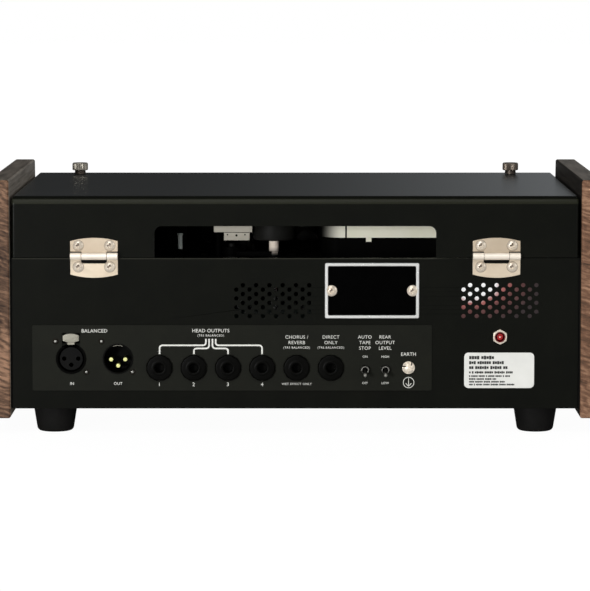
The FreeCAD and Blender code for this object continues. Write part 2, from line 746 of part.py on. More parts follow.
def vuMeter():
    """Moulded meter case: a bezel in front of the panel and a deep box behind it."""
    x, y = meterAt
    wide, tall = meterWide, meterTall
    bezel = Part.makeBox(wide, tall, 5, Vector(x - wide / 2, y - tall / 2, 0))
    rim = [edge for edge in bezel.Edges if edge.CenterOfMass.z > 4.9]
    bezel = bezel.makeFillet(1.8, rim)
    box = Part.makeBox(wide - 8.6, tall - 8.6, 22, Vector(x - wide / 2 + 4.3, y - tall / 2 + 4.3, -22))
    hollow = Part.makeBox(wide - 12, tall - 14, 12, Vector(x - wide / 2 + 6, y - tall / 2 + 8, -6))
    centre = meterPivot()
    pivot = Part.makeCylinder(0.8, 5, Vector(centre.x, centre.y, -6))
    return onFascia(fuseAll([fuseAll([bezel, box]).cut(hollow), pivot]))


def meterPivot():
    x, y = meterAt
    return Vector(x, y - meterTall / 2 + 12, -3)


def vuNeedle():
    """Hub and a slim pointer leaning to the left stop."""
    centre = meterPivot()
    hub = Part.makeCylinder(2.2, 1.6, centre)
    bore = Part.makeCylinder(0.85, 4, centre + Vector(0, 0, -1))
    pointer = Part.makeBox(0.7, 25, 0.5, Vector(centre.x - 0.35, centre.y, centre.z + 0.5))
    pointer.rotate(centre, axisZ, meterNeedleDeg)
    return onFascia(fuseAll([hub, pointer]).cut(bore))


def meterGlass():
    x, y = meterAt
    pane = Part.makeBox(meterWide - 12, meterTall - 14, 1.2,
                        Vector(x - meterWide / 2 + 6, y - meterTall / 2 + 8, 2.6))
    return onFascia(pane)


def deckPlate():
    """Plate that carries the tape path, with clearance for the capstan and the motor's boss."""
    plate = block(-176, 176, rearY - deckFarDepth, rearY - 30, deckZ - deckThick, deckZ)
    holes = []
    for x, y, radius in ((rollerX, capstanY(), capstanR + 0.6), (motorX, rearY - motorDepth, 9.0)):
        corner = radius / math.cos(math.pi / 16)
        holes.append(facetted(((corner, -5), (corner, 5)), (x, y, deckZ), axisZ, axisX, 16))
    return plate.cut(Part.makeCompound(holes))


def deckBrackets():
    """Four upright corner brackets from the tray's floor to the deck."""
    return [block(side * 170, side * 172, y, y + 12, floorZ + sheet, deckZ - deckThick)
            for side in (1, -1) for y in (rearY - deckFarDepth + 6, rearY - 42)]


def capstanY():
    """The capstan stands just clear of the open pinch roller."""
    return rearY - rollerDepth - rollerR - capstanR - 0.8


def capstan():
    """Precision shaft with a heavy flywheel grooved for the belt."""
    groove = flywheelR - beltGroove
    profile = ((0, beltZ - 5), (flywheelR, beltZ - 5), (flywheelR, beltZ - 2), (groove, beltZ - 1.2),
               (groove, beltZ + 1.2), (flywheelR, beltZ + 2), (flywheelR, beltZ + 6),
               (6, beltZ + 6), (6, beltZ + 12), (capstanR, beltZ + 12), (capstanR, 140.5), (0, 140.5))
    return turned(profile, (rollerX, capstanY(), 0), axisZ, axisX)


def capstanBearing():
    """Flanged bush pressed under the deck."""
    y = capstanY()
    profile = ((capstanR + 0.05, deckZ - 14), (6, deckZ - 14), (6, deckZ - deckThick),
               (capstanR + 0.6, deckZ - deckThick), (capstanR + 0.6, deckZ + 3),
               (capstanR + 0.05, deckZ + 3))
    return turned(profile, (rollerX, y, 0), axisZ, axisX)


def motor():
    """Can motor hung under the deck, its shaft downwards."""
    y = rearY - motorDepth
    rings = ((5, 77), (5, 80), (17, 80), (18, 81), (18, deckZ - deckThick))
    can = facetted(rings, (motorX, y, 0), axisZ, axisX, 24)
    return can.cut(post(motorX, y, 1.55, 70, 90))


def motorPulley():
    """Flanged pulley with the motor's shaft."""
    rim = pulleyR + 1
    groove = pulleyR - beltGroove
    profile = ((0, beltZ - 4), (rim, beltZ - 4), (rim, beltZ - 2), (groove, beltZ - 1.2),
               (groove, beltZ + 1.2), (rim, beltZ + 2), (rim, beltZ + 4),
               (1.5, beltZ + 4), (1.5, 89), (0, 89))
    return turned(profile, (motorX, rearY - motorDepth, 0), axisZ, axisX)


def driveBelt():
    """Flat belt round the two grooves: two tangent runs and two arcs."""
    y0 = capstanY()
    y1 = rearY - motorDepth
    big = flywheelR - 1.2
    small = pulleyR - 1.2
    span = math.hypot(motorX - rollerX, y1 - y0)
    lean = math.acos((big - small) / span)
    heading = math.atan2(y1 - y0, motorX - rollerX)

    def loop(grow):
        def at(cx, cy, radius, angle):
            return Vector(cx + radius * math.cos(angle), cy + radius * math.sin(angle), beltZ - 0.9)
        a0 = at(rollerX, y0, big + grow, heading + lean)
        a1 = at(rollerX, y0, big + grow, heading - lean)
        am = at(rollerX, y0, big + grow, heading + math.pi)
        b0 = at(motorX, y1, small + grow, heading + lean)
        b1 = at(motorX, y1, small + grow, heading - lean)
        bm = at(motorX, y1, small + grow, heading)
        wire = Part.Wire([Part.Arc(a0, am, a1).toShape(), Part.makeLine(a1, b1),
                          Part.Arc(b1, bm, b0).toShape(), Part.makeLine(b0, a0)])
        return Part.Face(wire).extrude(Vector(0, 0, 1.8))

    return loop(0.9).cut(loop(0.0))


def pinchArm():
    """Swinging arm with its pivot tube and the roller's spindle."""
    y = rearY - rollerDepth
    low = deckZ + 2
    bar = block(rollerX, armPivotX, y - 4.5, y + 4.5, low, low + 3)
    boss = facetted(((5.5, 0), (5.5, 6)), (armPivotX, y, low), axisZ, axisX, 16)
    end = facetted(((4.8, 0), (4.8, 3)), (rollerX, y, low), axisZ, axisX, 16)
    arm = fuseAll([bar, boss, end, post(rollerX, y, 3.2, low, rollerHighZ + 2)])
    return arm.cut(post(armPivotX, y, 2.05, deckZ, deckZ + 12))


def pinchRoller():
    """Rubber roller with a bore for its spindle and chamfered rims."""
    bore = 3.25
    profile = ((bore, rollerLowZ), (rollerR - 0.8, rollerLowZ), (rollerR, rollerLowZ + 0.8),
               (rollerR, rollerHighZ - 0.8), (rollerR - 0.8, rollerHighZ), (bore, rollerHighZ))
    return turned(profile, (rollerX, rearY - rollerDepth, 0), axisZ, axisX)


def armPivot():
    y = rearY - rollerDepth
    return fuseAll([post(armPivotX, y, 2.0, deckZ, deckZ + 10), post(armPivotX, y, 4.0, deckZ, deckZ + 1.7)])


def headBridge():
    """Folded aluminium bridge over the heads, standing on two posts."""
    y = rearY - 80
    underside = 126.0
    top = block(28.4, 53.6, y, y + 26, underside, 143)
    top = top.cut(block(31.5, 50.5, y - 1, y + 22, 127.5, 141))
    carrier = block(30.2, 47.0, y + 6, y + 22, 120.4, underside)
    holes = [evenHole(x, 123.1, 0.9, y, y + 30, 8) for x in (34, 38.6, 43.2)]
    carrier = carrier.cut(Part.makeCompound(holes))
    legs = [facetted(((2.1, deckZ), (2.1, underside)), (x, y + 3, 0), axisZ, axisX, 12) for x in (31, 51)]
    return fuseAll([top, carrier] + legs)


def tapeHeads():
    """Erase, record and three replay heads on one line, each with a curved face."""
    heads = []
    y = rearY - 104
    for number in range(5):
        x = 34 + number * 17
        shell = block(x - 5, x + 5, y - 12, y, deckZ + 6, deckZ + 22)
        front = block(x - 5, x + 5, y - 2, y + 4, deckZ, deckZ + 40)
        nose = post(x, y - 4, 7, deckZ + 6, deckZ + 22).common(front)
        foot = block(x - 6.5, x + 6.5, y - 12, y - 2, deckZ, deckZ + 6)
        heads.append(fuseAll([shell, nose, foot]))
    return heads


def guidePosts():
    """Turned tape guides with a flange at the top of each."""
    places = ((75.7, 60), (22, 140), (118, 98))
    profile = ((3.2, deckZ), (3.2, deckZ + 2), (1.75, deckZ + 2), (1.75, 123.4), (2.6, 123.4), (2.6, 124.9))
    return [facetted(profile, (x, rearY - depth, 0), axisZ, axisX, 16) for x, depth in places]


def cartridgeTray():
    """Lower half of the cartridge, set in a little from the cover."""
    tray = block(cartridgeLeft - 1.5, cartridgeRight + 1.5, rearY - 194, rearY - 62, deckZ, cartridgeSplitZ)
    upright = [edge for edge in tray.Edges if abs(edge.tangentAt(edge.FirstParameter).z) > 0.99]
    return tray.makeFillet(12, upright)


def cartridgeCover():
    """Upper half with large rounded corners, a thin seam and a small tab at the back."""
    cover = block(cartridgeLeft, cartridgeRight, rearY - 196, rearY - 60, cartridgeSplitZ, cartridgeTopZ)
    upright = [edge for edge in cover.Edges if abs(edge.tangentAt(edge.FirstParameter).z) > 0.99]
    cover = cover.makeFillet(17, upright)
    rim = [edge for edge in cover.Edges if edge.CenterOfMass.z > cartridgeTopZ - 0.1]
    cover = cover.makeChamfer(1.2, rim)
    tab = block(-50.3, -46.7, rearY - 61.5, rearY - 60.2, 119.2, 122.5)
    seam = block(-33.9, -33.1, rearY - 61, rearY - 59, cartridgeSplitZ - 1, cartridgeTopZ + 1)
    return fuseAll([cover.cut(seam), tab])


def powerBoard():
    """Upright supply board close behind the right-hand vents, with its tall parts."""
    y = rearY - 16
    low = floorZ + sheet
    cans = [facetted(((5, 0), (5, 9)), (x, y, 80), axisY, axisX, 16) for x in (-150, -137)]
    return [block(-162, -100, y - 1.6, y, low, 104), block(-162, -100, y - 8, y - 1.6, low, low + 3),
            block(-122, -110, y, y + 8, 84, 96), block(-160, -146, y, y + 6, 88, 100)] + cans


def audioBoard():
    """Upright board that the jacks and toggles are soldered to, with its chips."""
    y = rearY - 27.2
    chips = [block(x, x + 10, y - 7, y - 1.6, 58, 66) for x in (-60, -20, 20, 60, 100, 130)]
    return [block(-80, 164, y - 1.6, y, floorZ + sheet, 78)] + chips


def build():
    save("cheek_left", cheek(-1))
    save("cheek_right", cheek(1))
    save("chassis_tray", chassisTray())
    save("rear_panel", rearPanel())
    save("connector_field", connectorField())
    save("xlr_in_shell", xlrInShell())
    save("xlr_in_insert", xlrInsert())
    save("xlr_latch", xlrLatch())
    save("xlr_out_shell", xlrShell(xlrOutX, xlrCavityR))
    save("xlr_out_pins", *xlrPins())
    save("panel_screws", *panelScrews())
    for number in range(jackCount):
        save("jack_" + str(number + 1), jackSocket(jackX(number), jackZ))
    save("toggle_bodies", *[toggleBody(x) for x in toggleXs], powerBody())
    for number, x in enumerate(toggleXs):
        save("toggle_lever_" + str(number + 1), rearLever(x))
    save("earth_terminal", earthTerminal())
    save("nameplate", nameplate())
    save("rating_label", ratingLabel())
    save("dc_inlet", dcInlet())
    save("dc_nut", dcNut())
    save("hinge_leaves_lower", *[lowerLeaf(x) for x in hingeXs])
    save("hinge_leaves_upper", *[upperLeaf(x) for x in hingeXs])
    save("hinge_pins", *[hingePin(x) for x in hingeXs])
    save("hinge_screws_upper", *upperHingeScrews())
    save("lid_cover", lidCover())
    save("thumbscrew_left", thumbscrew(-1))
    save("thumbscrew_right", thumbscrew(1))
    save("front_fascia", fascia(), fasciaBracket(-1), fasciaBracket(1))
    save("rubber_feet", *feet())
    save("power_lever", powerLever())
    save("pilot_lamp", lamp())
    save("pot_bodies", *[potBody(place, 8) for place in smallKnobs], potBody(selectorAt, 12))
    for number, place in enumerate(smallKnobs):
        save("knob_" + str(number + 1), knob(place, knobR, knobTall))
    save("mode_selector", knob(selectorAt, selectorR, knobTall + 4))
    save("front_jacks", *[onFascia(frontJack(place)) for place in frontJacks])
    save("vu_meter", vuMeter(), meterGlass())
    save("vu_needle", vuNeedle())
    save("deck_plate", deckPlate(), armPivot(), capstanBearing(), *deckBrackets())
    save("head_bridge", headBridge())
    save("tape_heads", *tapeHeads())
    save("guide_posts", *guidePosts())
    save("pinch_arm", pinchArm())
    save("pinch_roller", pinchRoller())
    save("capstan", capstan())
    save("motor", motor())
    save("motor_pulley", motorPulley())
    save("drive_belt", driveBelt())
    save("tape_cartridge", cartridgeTray(), cartridgeCover())
    save("power_board", *powerBoard())
    save("audio_board", *audioBoard())


build()
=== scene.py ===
import math

import bmesh
import bpy
import numpy as np
from mathutils import Matrix, Vector


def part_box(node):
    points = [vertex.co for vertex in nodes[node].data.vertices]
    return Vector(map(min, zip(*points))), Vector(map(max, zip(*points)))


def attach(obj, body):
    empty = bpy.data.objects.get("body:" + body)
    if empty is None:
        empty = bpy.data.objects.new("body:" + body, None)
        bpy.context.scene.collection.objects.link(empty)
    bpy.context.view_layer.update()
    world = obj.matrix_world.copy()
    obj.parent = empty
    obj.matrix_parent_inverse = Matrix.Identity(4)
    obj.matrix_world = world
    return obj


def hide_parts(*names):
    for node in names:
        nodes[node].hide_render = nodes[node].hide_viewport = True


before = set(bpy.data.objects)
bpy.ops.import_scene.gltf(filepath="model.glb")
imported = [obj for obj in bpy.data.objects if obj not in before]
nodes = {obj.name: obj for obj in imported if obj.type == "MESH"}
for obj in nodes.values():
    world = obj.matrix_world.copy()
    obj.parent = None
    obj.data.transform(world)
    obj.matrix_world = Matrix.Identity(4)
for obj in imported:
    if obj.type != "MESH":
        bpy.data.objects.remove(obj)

print("frame loaded")
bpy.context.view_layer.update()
mm = 0.001
rearY = 126.5     # outer face of the rear sheet, in millimetres


# Camera, light and floor

camera = dict(place=(0.00019, 2.2247, 0.3081), pitch=84.06, turn=180.0, lens=200.2, sensor=36.0)
eye = bpy.data.objects.new("camera", bpy.data.cameras.new("camera"))
eye.location = camera["place"]
eye.rotation_euler = (math.radians(camera["pitch"]), 0, math.radians(camera["turn"]))
eye.data.lens = camera["lens"]
eye.data.sensor_width = camera["sensor"]
eye.data.sensor_fit = "HORIZONTAL"
eye.data.clip_end = 30
bpy.context.scene.collection.objects.link(eye)
bpy.context.scene.camera = eye
bpy.context.scene.view_settings.view_transform = "Standard"

softboxes = dict(
    upper=dict(place=(0.3, 1.5, 1.7), size=1.3, power=15.0),
    front=dict(place=(0.35, 2.6, 0.98), size=0.9, power=5.0),
    low=dict(place=(1.15, 2.4, 0.27), size=0.4, power=37.0),
    fill=dict(place=(-1.15, 2.4, 0.27), size=0.4, power=3.0),
    side=dict(place=(-1.9, 0.9, 0.8), size=1.0, power=6.0),
)
for name, box in softboxes.items():
    lamp = bpy.data.lights.new(name, "AREA")
    lamp.size = box["size"]
    lamp.energy = box["power"]
    holder = bpy.data.objects.new(name, lamp)
    holder.location = box["place"]
    towards = Vector((0, 0.05, 0.08)) - Vector(box["place"])
    holder.rotation_euler = towards.to_track_quat("-Z", "Y").to_euler()
    bpy.context.scene.collection.objects.link(holder)


# a shader node with its sockets set or linked: n0, n1 are sockets by number, an underscore stands for a space
def shaderNode(tree, kind, options=None, **sockets):
    made = tree.nodes.new("ShaderNode" + kind)
    for option, value in (options or {}).items():
        setattr(made, option, value)
    for key, value in sockets.items():
        numbered = key[0] == "n" and key[1:].isdigit()
        socket = made.inputs[int(key[1:]) if numbered else key.replace("_", " ")]
        if isinstance(value, bpy.types.NodeSocket):
            tree.links.new(value, socket)
        else:
            socket.default_value = value
    return made


# one step of arithmetic on sockets or numbers
def reckoned(tree, operation, *values):
    sockets = {"n" + str(number): value for number, value in enumerate(values)}
    return shaderNode(tree, "Math", dict(operation=operation), **sockets).outputs[0]


# low at start, high at end, in proportion between them, or as a smooth step
def ranged(tree, value, start, end, low=0.0, high=1.0, kind="LINEAR"):
    return shaderNode(tree, "MapRange", dict(interpolation_type=kind), Value=value,
                      From_Min=start, From_Max=end, To_Min=low, To_Max=high).outputs[0]


# a piece's own coordinates, in metres
def ownPlace(tree):
    return shaderNode(tree, "TexCoord").outputs["Object"]


# one of those coordinates by its letter
def ownAxis(tree, axis):
    return shaderNode(tree, "SeparateXYZ", Vector=ownPlace(tree)).outputs[axis]


# one level for camera and transmission rays, one for glossy rays and one for the rest
def rayLevel(tree, seen, mirrored, rest):
    path = shaderNode(tree, "LightPath").outputs
    direct = reckoned(tree, "MAXIMUM", path["Is Camera Ray"], path["Is Transmission Ray"])
    base = reckoned(tree, "MULTIPLY_ADD", direct, seen - rest, rest)
    return reckoned(tree, "MULTIPLY_ADD", path["Is Glossy Ray"], mirrored - rest, base)


# an empty material, its tree and its surface shader
def blankMaterial(name):
    material = bpy.data.materials.new(name)
    material.use_nodes = True
    return material, material.node_tree, material.node_tree.nodes["Principled BSDF"]


# a flat sheet that is not part of the unit
def stageSheet(name, corners, paper):
    mesh = bpy.data.meshes.new(name)
    mesh.from_pydata(corners, [], [(0, 1, 2, 3)])
    mesh.materials.append(paper)
    made = bpy.data.objects.new(name, mesh)
    bpy.context.scene.collection.objects.link(made)
    return made


world = bpy.data.worlds.new("studio")
bpy.context.scene.world = world
world.use_nodes = True
sky = world.node_tree.nodes["Background"]
sky.inputs["Color"].default_value = (1, 1, 1, 1)
world.node_tree.links.new(rayLevel(world.node_tree, 1.0, 0.07, 0.3), sky.inputs["Strength"])

floorPaper, paperTree, paperSkin = blankMaterial("floorPaper")
dim = rayLevel(paperTree, 0.8, 0.72, 0.8)
paperTone = shaderNode(paperTree, "CombineColor", Red=dim, Green=dim, Blue=dim)
paperTree.links.new(paperTone.outputs[0], paperSkin.inputs["Base Color"])
paperSkin.inputs["Roughness"].default_value = 0.9
paperSkin.inputs["Specular IOR Level"].default_value = 0.0
paperGlow = shaderNode(paperTree, "Emission", Strength=1.03)
spot = shaderNode(paperTree, "VectorMath", dict(operation="LENGTH"), n0=ownPlace(paperTree))
# the paper is white by itself but for a share near the unit, which keeps the shadow
far = ranged(paperTree, spot.outputs["Value"], 0.22, 0.5, 0.94, 1.0)
share = reckoned(paperTree, "MULTIPLY", rayLevel(paperTree, 1.0, 0.0, 0.0), far)
blend = shaderNode(paperTree, "MixShader", n0=share, n1=paperSkin.outputs[0], n2=paperGlow.outputs[0])
paperTree.links.new(blend.outputs[0], paperTree.nodes["Material Output"].inputs["Surface"])
floor = stageSheet("floor", [(-9, -9, 0), (9, -9, 0), (9, 9, 0), (-9, 9, 0)], floorPaper)

# backdrop card, out of the eye's sight: the unit's top mirrors it as a grey that brightens towards -X
cardPaper, cardTree, cardSkin = blankMaterial("cardPaper")
cardTree.nodes.remove(cardSkin)
rise = ranged(cardTree, ownAxis(cardTree, "X"), 0.25, -0.6)
grey = reckoned(cardTree, "MULTIPLY_ADD", reckoned(cardTree, "POWER", rise, 2.0), 0.59, 0.05)
mirrored = reckoned(cardTree, "MULTIPLY", grey, rayLevel(cardTree, 0.0, 1.0, 0.0))
cardLevel = reckoned(cardTree, "ADD", mirrored, rayLevel(cardTree, 0.0, 0.0, 0.3))
cardGlow = shaderNode(cardTree, "Emission", Color=(0.95, 1.0, 1.04, 1), Strength=cardLevel)
cardTree.links.new(cardGlow.outputs[0], cardTree.nodes["Material Output"].inputs["Surface"])
card = stageSheet("backdrop", [(-2.4, -2.8, 0.02), (2.4, -2.8, 0.02), (2.4, -2.8, 1.7), (-2.4, -2.8, 1.7)], cardPaper)
card.visible_camera = False
print("stage set")


# Finishes

# each part of the code over 255: up to 0.04045 it is divided by 12.92, above that it is
# ((part + 0.055) / 1.055) to the power 2.4
def hexColour(code, alpha=1.0):
    parts = [int(code[i:i + 2], 16) / 255 for i in (0, 2, 4)]
    return [c / 12.92 if c <= 0.04045 else ((c + 0.055) / 1.055) ** 2.4 for c in parts] + [alpha]


# a value turned into colour: each colour at its position, blended between them
def coloured(tree, value, positions, colours):
    ramp = shaderNode(tree, "ValToRGB", Fac=value)
    elements = ramp.color_ramp.elements
    while len(elements) < len(colours):
        elements.new(0.5)
    for element, position, colour in zip(elements, positions, colours):
        element.position = position
        element.color = hexColour(colour)
    return ramp.outputs[0]


# a share of another colour over the one that the material has
def tint(material, share, colour):
    tree = material.node_tree
    base = tree.nodes["Principled BSDF"].inputs["Base Color"]
    mixed = shaderNode(tree, "Mix", dict(data_type="RGBA"), n0=share, n6=base.links[0].from_socket,
                       n7=hexColour(colour))
    tree.links.new(mixed.outputs[2], base)


# own coordinates, stretched and turned
def placed(tree, scale=(1, 1, 1), turn=(0, 0, 0), kind="POINT"):
    return shaderNode(tree, "Mapping", dict(vector_type=kind), Vector=ownPlace(tree), Scale=scale,
                      Rotation=turn).outputs[0]


# colour: noise through a ramp of the given colours; roughness: a second noise between two values;
# bump: a fine noise of the given grain, in grains per metre
def finish(name, colours, patch=60, rough=(0.4, 0.55), grain=900, bump=0.15, stretch=(1, 1, 1), metallic=0.0,
           specular=0.5, coat=0.0):
    material, tree, skin = blankMaterial(name)
    where = placed(tree, stretch)
    clouds = shaderNode(tree, "TexNoise", Vector=where, Scale=patch, Detail=4.0, Roughness=0.6)
    tree.links.new(coloured(tree, clouds.outputs[0], (0.3, 0.7), colours), skin.inputs["Base Color"])
    speck = shaderNode(tree, "TexNoise", Vector=where, Scale=grain, Detail=3.0, Roughness=0.5).outputs[0]
    tree.links.new(ranged(tree, speck, 0.0, 1.0, *rough), skin.inputs["Roughness"])
    relief = shaderNode(tree, "Bump", Height=speck, Strength=bump, Distance=0.0001)
    tree.links.new(relief.outputs[0], skin.inputs["Normal"])
    skin.inputs["Metallic"].default_value = metallic
    skin.inputs["Specular IOR Level"].default_value = specular
    skin.inputs["Coat Weight"].default_value = coat
    return material


lidPaint = finish("lidPaint", ("0b0c09", "0e0f0b"), 45, rough=(0.2, 0.26), grain=1400, bump=0.06, specular=0.07)
panelPaint = finish("panelPaint", ("0b0c09", "0e0f0b"), 45, rough=(0.2, 0.26), grain=1400, bump=0.06, specular=0.07)
fasciaPaint = finish("fasciaPaint", ("141412", "1a1a17"), 45, rough=(0.3, 0.36), grain=1400, bump=0.06, specular=0.3)
fieldInk = finish("fieldInk", ("12130e", "161711"), 60, rough=(0.5, 0.6), grain=1800, bump=0.12, specular=0.08)
trayPaint = finish("trayPaint", ("0a0a09", "0e0e0c"), 40, rough=(0.5, 0.65), grain=1200, bump=0.2, specular=0.1)
earthNickel = finish("earthNickel", ("e9dcc8", "f6ecdc"), 200, rough=(0.3, 0.4), grain=1500, bump=0.06, metallic=0.45)
# black of the connector screws' heads, and painted shade in the earth screw's slot
darkScrewAndSlotShade = finish("darkScrewAndSlotShade", ("12110d", "1d1b15"), 300, rough=(0.5, 0.6), grain=1500, bump=0.08, specular=0.1)
bushingSteel = finish("bushingSteel", ("4a4a46", "5e5e59"), 160, rough=(0.25, 0.35), grain=900, bump=0.05,
                      metallic=1.0)
leverShade = finish("leverShade", ("12120f", "1b1b18"), 160, rough=(0.25, 0.35), grain=900, bump=0.05, specular=0.3)
knurledSteel = finish("knurledSteel", ("aea89b", "c0baad"), 60, rough=(0.36, 0.42), grain=900, bump=0.01,
                      stretch=(1, 1, 0.08), metallic=0.85)
knurledSteelShaded = finish("knurledSteelShaded", ("6e645a", "7f756a"), 60, rough=(0.4, 0.46), grain=900, bump=0.01, metallic=0.8)
collarSteel = finish("collarSteel", ("453e38", "554d46"), 80, rough=(0.4, 0.5), grain=900, bump=0.01, metallic=0.8)
# near black inside the bay: black mouldings, and painted shade on metal parts deep in the bay
blackAndBayShade = finish("blackAndBayShade", ("020202", "040403"), 70, rough=(0.55, 0.7), grain=1200, bump=0.12, specular=0.02)
spindleSteel = finish("spindleSteel", ("ecdccb", "f6eadc"), 240, rough=(0.55, 0.65), grain=900, bump=0.03,
                      specular=0.2)
satinNickel = finish("satinNickel", ("d0bfa8", "daccb5"), 70, rough=(0.3, 0.36), grain=1500, bump=0.012, metallic=0.4)
shadedLeafNickel = finish("shadedLeafNickel", ("baa992", "c4b49e"), 70, rough=(0.3, 0.36), grain=1500, bump=0.012, metallic=0.4)
barrelHighlightNickel = finish("barrelHighlightNickel", ("e8dccc", "f2e8da"), 70, rough=(0.3, 0.36), grain=1500, bump=0.012,
                      metallic=0.3)
screwNickel = finish("screwNickel", ("dacdbb", "e6dbca"), 90, rough=(0.28, 0.34), grain=1200, bump=0.012,
                     metallic=0.55)
recessShade = finish("recessShade", ("5c4f42", "73665a"), 300, rough=(0.4, 0.5), grain=1500, bump=0.02, metallic=0.3)
headShadowBrown = finish("headShadowBrown", ("8d8070", "9d907f"), 300, rough=(0.4, 0.5), grain=1500, bump=0.02, metallic=0.3)
screwSteel = finish("screwSteel", ("82827e", "979691"), 120, rough=(0.4, 0.5), grain=1500, bump=0.05, metallic=1.0)
turnedSteel = finish("turnedSteel", ("a9aaa8", "c6c7c5"), 160, rough=(0.2, 0.3), grain=900, bump=0.05,
                     stretch=(0.05, 0.05, 1), metallic=1.0)
brushedAlloy = finish("brushedAlloy", ("989489", "a7a398"), 200, rough=(0.38, 0.5), grain=1300, bump=0.1,
                      stretch=(0.05, 1, 1), metallic=1.0)
blackMoulding = finish("blackMoulding", ("030302", "060605"), 120, rough=(0.34, 0.44), grain=1600, bump=0.08,
                       specular=0.04)
insertMoulding = finish("insertMoulding", ("040404", "070706"), 90, rough=(0.5, 0.6), grain=1500, bump=0.08,
                        specular=0.08)
footRubber = finish("footRubber", ("090908", "100f0e"), 150, rough=(0.66, 0.8), grain=1100, bump=0.25, specular=0.12)
pinShade = finish("pinShade", ("4a4a22", "5c5b2e"), 300, rough=(0.4, 0.5), grain=2000, bump=0.03, metallic=0.3)
highlightNickel = finish("highlightNickel", ("7c7b75", "8f8e87"), 300, rough=(0.4, 0.5), grain=2000, bump=0.03, metallic=0.6)
pinBrass = finish("pinBrass", ("d6d68a", "e4e4a4"), 300, rough=(0.4, 0.5), grain=2000, bump=0.03, metallic=0.3)
latchMetal = finish("latchMetal", ("8d8a7e", "9b988b"), 140, rough=(0.55, 0.65), grain=1600, bump=0.06, metallic=0.6)
mirrorPlate = finish("mirrorPlate", ("d9d9d7", "e6e6e4"), 25, rough=(0.22, 0.3), grain=1000, bump=0.02, metallic=0.5)
plateEnamel = finish("plateEnamel", ("010101", "020202"), 80, rough=(0.3, 0.36), grain=1600, bump=0.05,
                     specular=0.012)
legendInk = finish("legendInk", ("c9c9c2", "dcdcd6"), 900, rough=(0.55, 0.65), grain=2500, bump=0.05, specular=0.2)
labelVinyl = finish("labelVinyl", ("cfcfca", "d8d8d3"), 70, rough=(0.45, 0.55), grain=1500, bump=0.06, specular=0.3)
labelInk = finish("labelInk", ("232422", "31322f"), 700, rough=(0.5, 0.6), grain=2500, bump=0.05, specular=0.2)
# darker red of the inlet's sleeve: painted shade inside the socket
socketShadeRed = finish("socketShadeRed", ("4a0205", "650407"), 300, rough=(0.25, 0.35), grain=1500, bump=0.05, specular=0.3)
socketRed = finish("socketRed", ("8f070b", "b51014"), 300, rough=(0.25, 0.35), grain=1500, bump=0.05, specular=0.4)
# pale pink of the inlet's centre pin: painted highlight
pinRoseHighlight = finish("pinRoseHighlight", ("f0a298", "f9c0b7"), 300, rough=(0.3, 0.4), grain=1500, bump=0.03, metallic=0.4)
creamShell = finish("creamShell", ("f4f2da", "faf8e6"), 60, rough=(0.35, 0.45), grain=1500, bump=0.06, specular=0.2)
tapeRubber = finish("tapeRubber", ("131311", "191917"), 150, rough=(0.5, 0.62), grain=1300, bump=0.2, specular=0.12)
guideSteel = finish("guideSteel", ("e8f2ea", "f6fff8"), 200, rough=(0.6, 0.7), grain=900, bump=0.02, specular=0.3)
muMetal = finish("muMetal", ("7e7c76", "98958e"), 120, rough=(0.25, 0.35), grain=1200, bump=0.04, metallic=1.0)
boardGreen = finish("boardGreen", ("04100a", "071a0f"), 90, rough=(0.35, 0.5), grain=900, bump=0.2, specular=0.4)
knobBakelite = finish("knobBakelite", ("0a0908", "14110f"), 80, rough=(0.22, 0.32), grain=1500, bump=0.05,
                      specular=0.5, coat=0.15)
pointerWhite = finish("pointerWhite", ("e2dfd2", "efece1"), 500, rough=(0.45, 0.55), grain=2000, bump=0.05,
                      specular=0.3)
meterFace = finish("meterFace", ("e5d8a8", "f0e5bd"), 50, rough=(0.6, 0.7), grain=1500, bump=0.05, specular=0.2)
lensAmber = finish("lensAmber", ("b8380a", "e05512"), 200, rough=(0.08, 0.14), grain=800, bump=0.03, specular=0.6,
                   coat=0.6)
# the cartridge cover beyond its seam: cream with painted shade towards its rounded end
shadedShell = finish("shadedShell", ("f2efdd", "f7f5e6"), 60, rough=(0.35, 0.45), grain=1500, bump=0.06,
                     specular=0.05)


# a second tone where the height lies in a band, both in metres, with soft ends; it fades out between two places
# along X if they are given
def bandTone(material, low, high, colour, soft=0.0003, fade=None):
    tree = material.node_tree
    lift = ownAxis(tree, "Z")
    above = ranged(tree, lift, low - soft, low + soft)
    below = ranged(tree, lift, high + soft, high - soft)
    inside = reckoned(tree, "MULTIPLY", above, below)
    if fade:
        inside = reckoned(tree, "MULTIPLY", inside, ranged(tree, ownAxis(tree, "X"), *fade))
    tint(material, inside, colour)


bandTone(lidPaint, 0.1488, 0.1519, "21221a")     # painted highlight: a paler band along the bend
bandTone(panelPaint, 0.1133, 0.114, "2b2b25", fade=(-0.1, -0.085))     # painted highlight along the sheet's top edge, fading out towards -X

# the lid's level top is flatted: rougher than its bend and wall, and paler by a painted sheen
topTree = lidPaint.node_tree
topRough = topTree.nodes["Principled BSDF"].inputs["Roughness"]
facing = shaderNode(topTree, "NewGeometry").outputs["Normal"]
upward = shaderNode(topTree, "SeparateXYZ", Vector=facing).outputs["Z"]
roughAndSheenShare = ranged(topTree, upward, 0.985, 0.999, kind="SMOOTHSTEP")
topTree.links.new(reckoned(topTree, "MULTIPLY_ADD", roughAndSheenShare, 0.06, topRough.links[0].from_socket), topRough)
tint(lidPaint, roughAndSheenShare, "2a2b2a")

# painted shade: the spindle darkens towards its foot; and the cartridge's rounded end fades from cream to near black
# along X
tint(spindleSteel, ranged(spindleSteel.node_tree, ownAxis(spindleSteel.node_tree, "Z"), 0.116, 0.1108), "060505")
shellTree = shadedShell.node_tree
tint(shadedShell, ranged(shellTree, ownAxis(shellTree, "X"), -0.0325, -0.017, kind="SMOOTHSTEP"), "030303")


